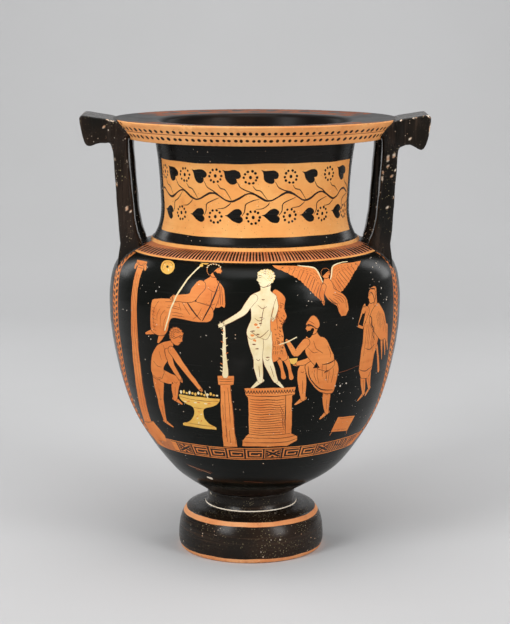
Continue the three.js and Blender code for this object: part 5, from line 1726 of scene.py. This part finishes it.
ft.paint(*band(f_sh - 5.6, f_sh + 0.2, ft.rref, CLAY, 0.3, 1.9))
ft.paint(*band(ft.at(55.4, 54.1), ft.at(55.1, 55.3), ft.rref, CREAM, 0.04, 0.5))
PIECE[0] = 'foot'
foot_ob = ft.build([(0, f_edge - 0.2, BARE), (f_edge - 0.2, 1e9, SLIP)], 96, 7.5, [(0, f_edge - 1.0, 0.22, False), (f_edge - 1.0, f_stem + 3.0, 0.56, True), (f_stem + 3.0, f_endstem, 0.16, False), (f_endstem, ft.S, 0.06, False)])

# --- handles ---
outline = np.vstack([[(0, 300)], BODY_CURVE[BODY_CURVE[:, 1] > 300][::4], NECK_CURVE[::4], [(147, 492), (150, 493), (165.9, 513), (164.4, 515.1), (118, 512.5), (0, 512.5)]])
left_ob = make_handle('krater_handle_left', -1, outline, 2.25)
right_ob = make_handle('krater_handle_right', 1, outline, 2.25)

for ob in (body_ob, neck_ob, lip_ob, foot_ob, left_ob, right_ob):
    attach(ob, 'root')
    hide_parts('krater')

# ---------------------------------------------------------------------------
# Stage, light and camera
# ---------------------------------------------------------------------------

def stage_floor():
    """A pale floor that curves up into a wall well behind the pot."""
    n, m = 40, 2
    prof = [(-6.0, 0.0), (1.6, 0.0)] + [(1.6 + 1.4 * math.sin(a), 1.4 - 1.4 * math.cos(a)) for a in np.linspace(0, math.pi / 2, 24)[1:]] + [(3.0, 6.0)]
    xs = [-7.0, 7.0]
    verts = [(x, y, z) for (y, z) in prof for x in xs]
    faces = [(2 * i, 2 * i + 1, 2 * i + 3, 2 * i + 2) for i in range(len(prof) - 1)]
    me = bpy.data.meshes.new('floor')
    me.from_pydata(verts, [], faces)
    me.update()
    for p in me.polygons:
        p.use_smooth = True
    ob = bpy.data.objects.new('floor', me)
    bpy.context.scene.collection.objects.link(ob)
    N = Nodes('floor_paper')
    N.link(N.mix(N.noise(2.0, 3.0), srgb(196, 196, 196), srgb(202, 202, 203)), N.bsdf.inputs['Base Color'])
    N.bsdf.inputs['Roughness'].default_value = 0.9
    N.bsdf.inputs['Specular IOR Level'].default_value = 0.1
    me.materials.append(N.mat)


def area(name, at_, to, size, power, size_y=None):
    L = bpy.data.lights.new(name, 'AREA')
    L.energy = power
    L.shape = 'RECTANGLE'
    L.size = size
    L.size_y = size_y or size
    ob = bpy.data.objects.new(name, L)
    ob.location = at_
    ob.rotation_euler = (Vector(to) - Vector(at_)).to_track_quat('-Z', 'Y').to_euler()
    ob.visible_camera = False
    bpy.context.scene.collection.objects.link(ob)


stage_floor()
area('key', (-1.9, -2.0, 1.7), (0, 0, 0.30), 1.0, 54, 1.8)
area('fill', (2.1, -1.9, 1.4), (0, 0, 0.30), 0.9, 38, 1.6)
area('over', (0.0, -0.5, 2.4), (0, 0, 0.3), 1.4, 22)
area('wall', (0.0, 1.35, 2.5), (0, 3.0, 0.9), 1.8, 15, 1.0)
area('back_left', (-1.6, 1.3, 1.1), (0, 0, 0.3), 0.5, 6, 1.2)
area('back_right', (1.6, 1.3, 1.1), (0, 0, 0.3), 0.5, 6, 1.2)

world = bpy.data.worlds.new('studio')
bpy.context.scene.world = world
world.use_nodes = True
world.node_tree.nodes['Background'].inputs['Color'].default_value = (0.87, 0.88, 0.89, 1)
world.node_tree.nodes['Background'].inputs['Strength'].default_value = 0.34

bpy.context.scene.view_settings.view_transform = 'Standard'

cam = bpy.data.cameras.new('camera')
cam.sensor_width = 36.0
cam.lens = 100.86
cam.clip_start, cam.clip_end = 0.05, 30
cam_ob = bpy.data.objects.new('camera', cam)
cam_ob.location = (0.0, -2.04844, 0.63999)
cam_ob.rotation_euler = (math.pi / 2 - 0.172, 0, 0)
bpy.context.scene.collection.objects.link(cam_ob)
bpy.context.scene.camera = cam_ob

bpy.context.view_layer.update()
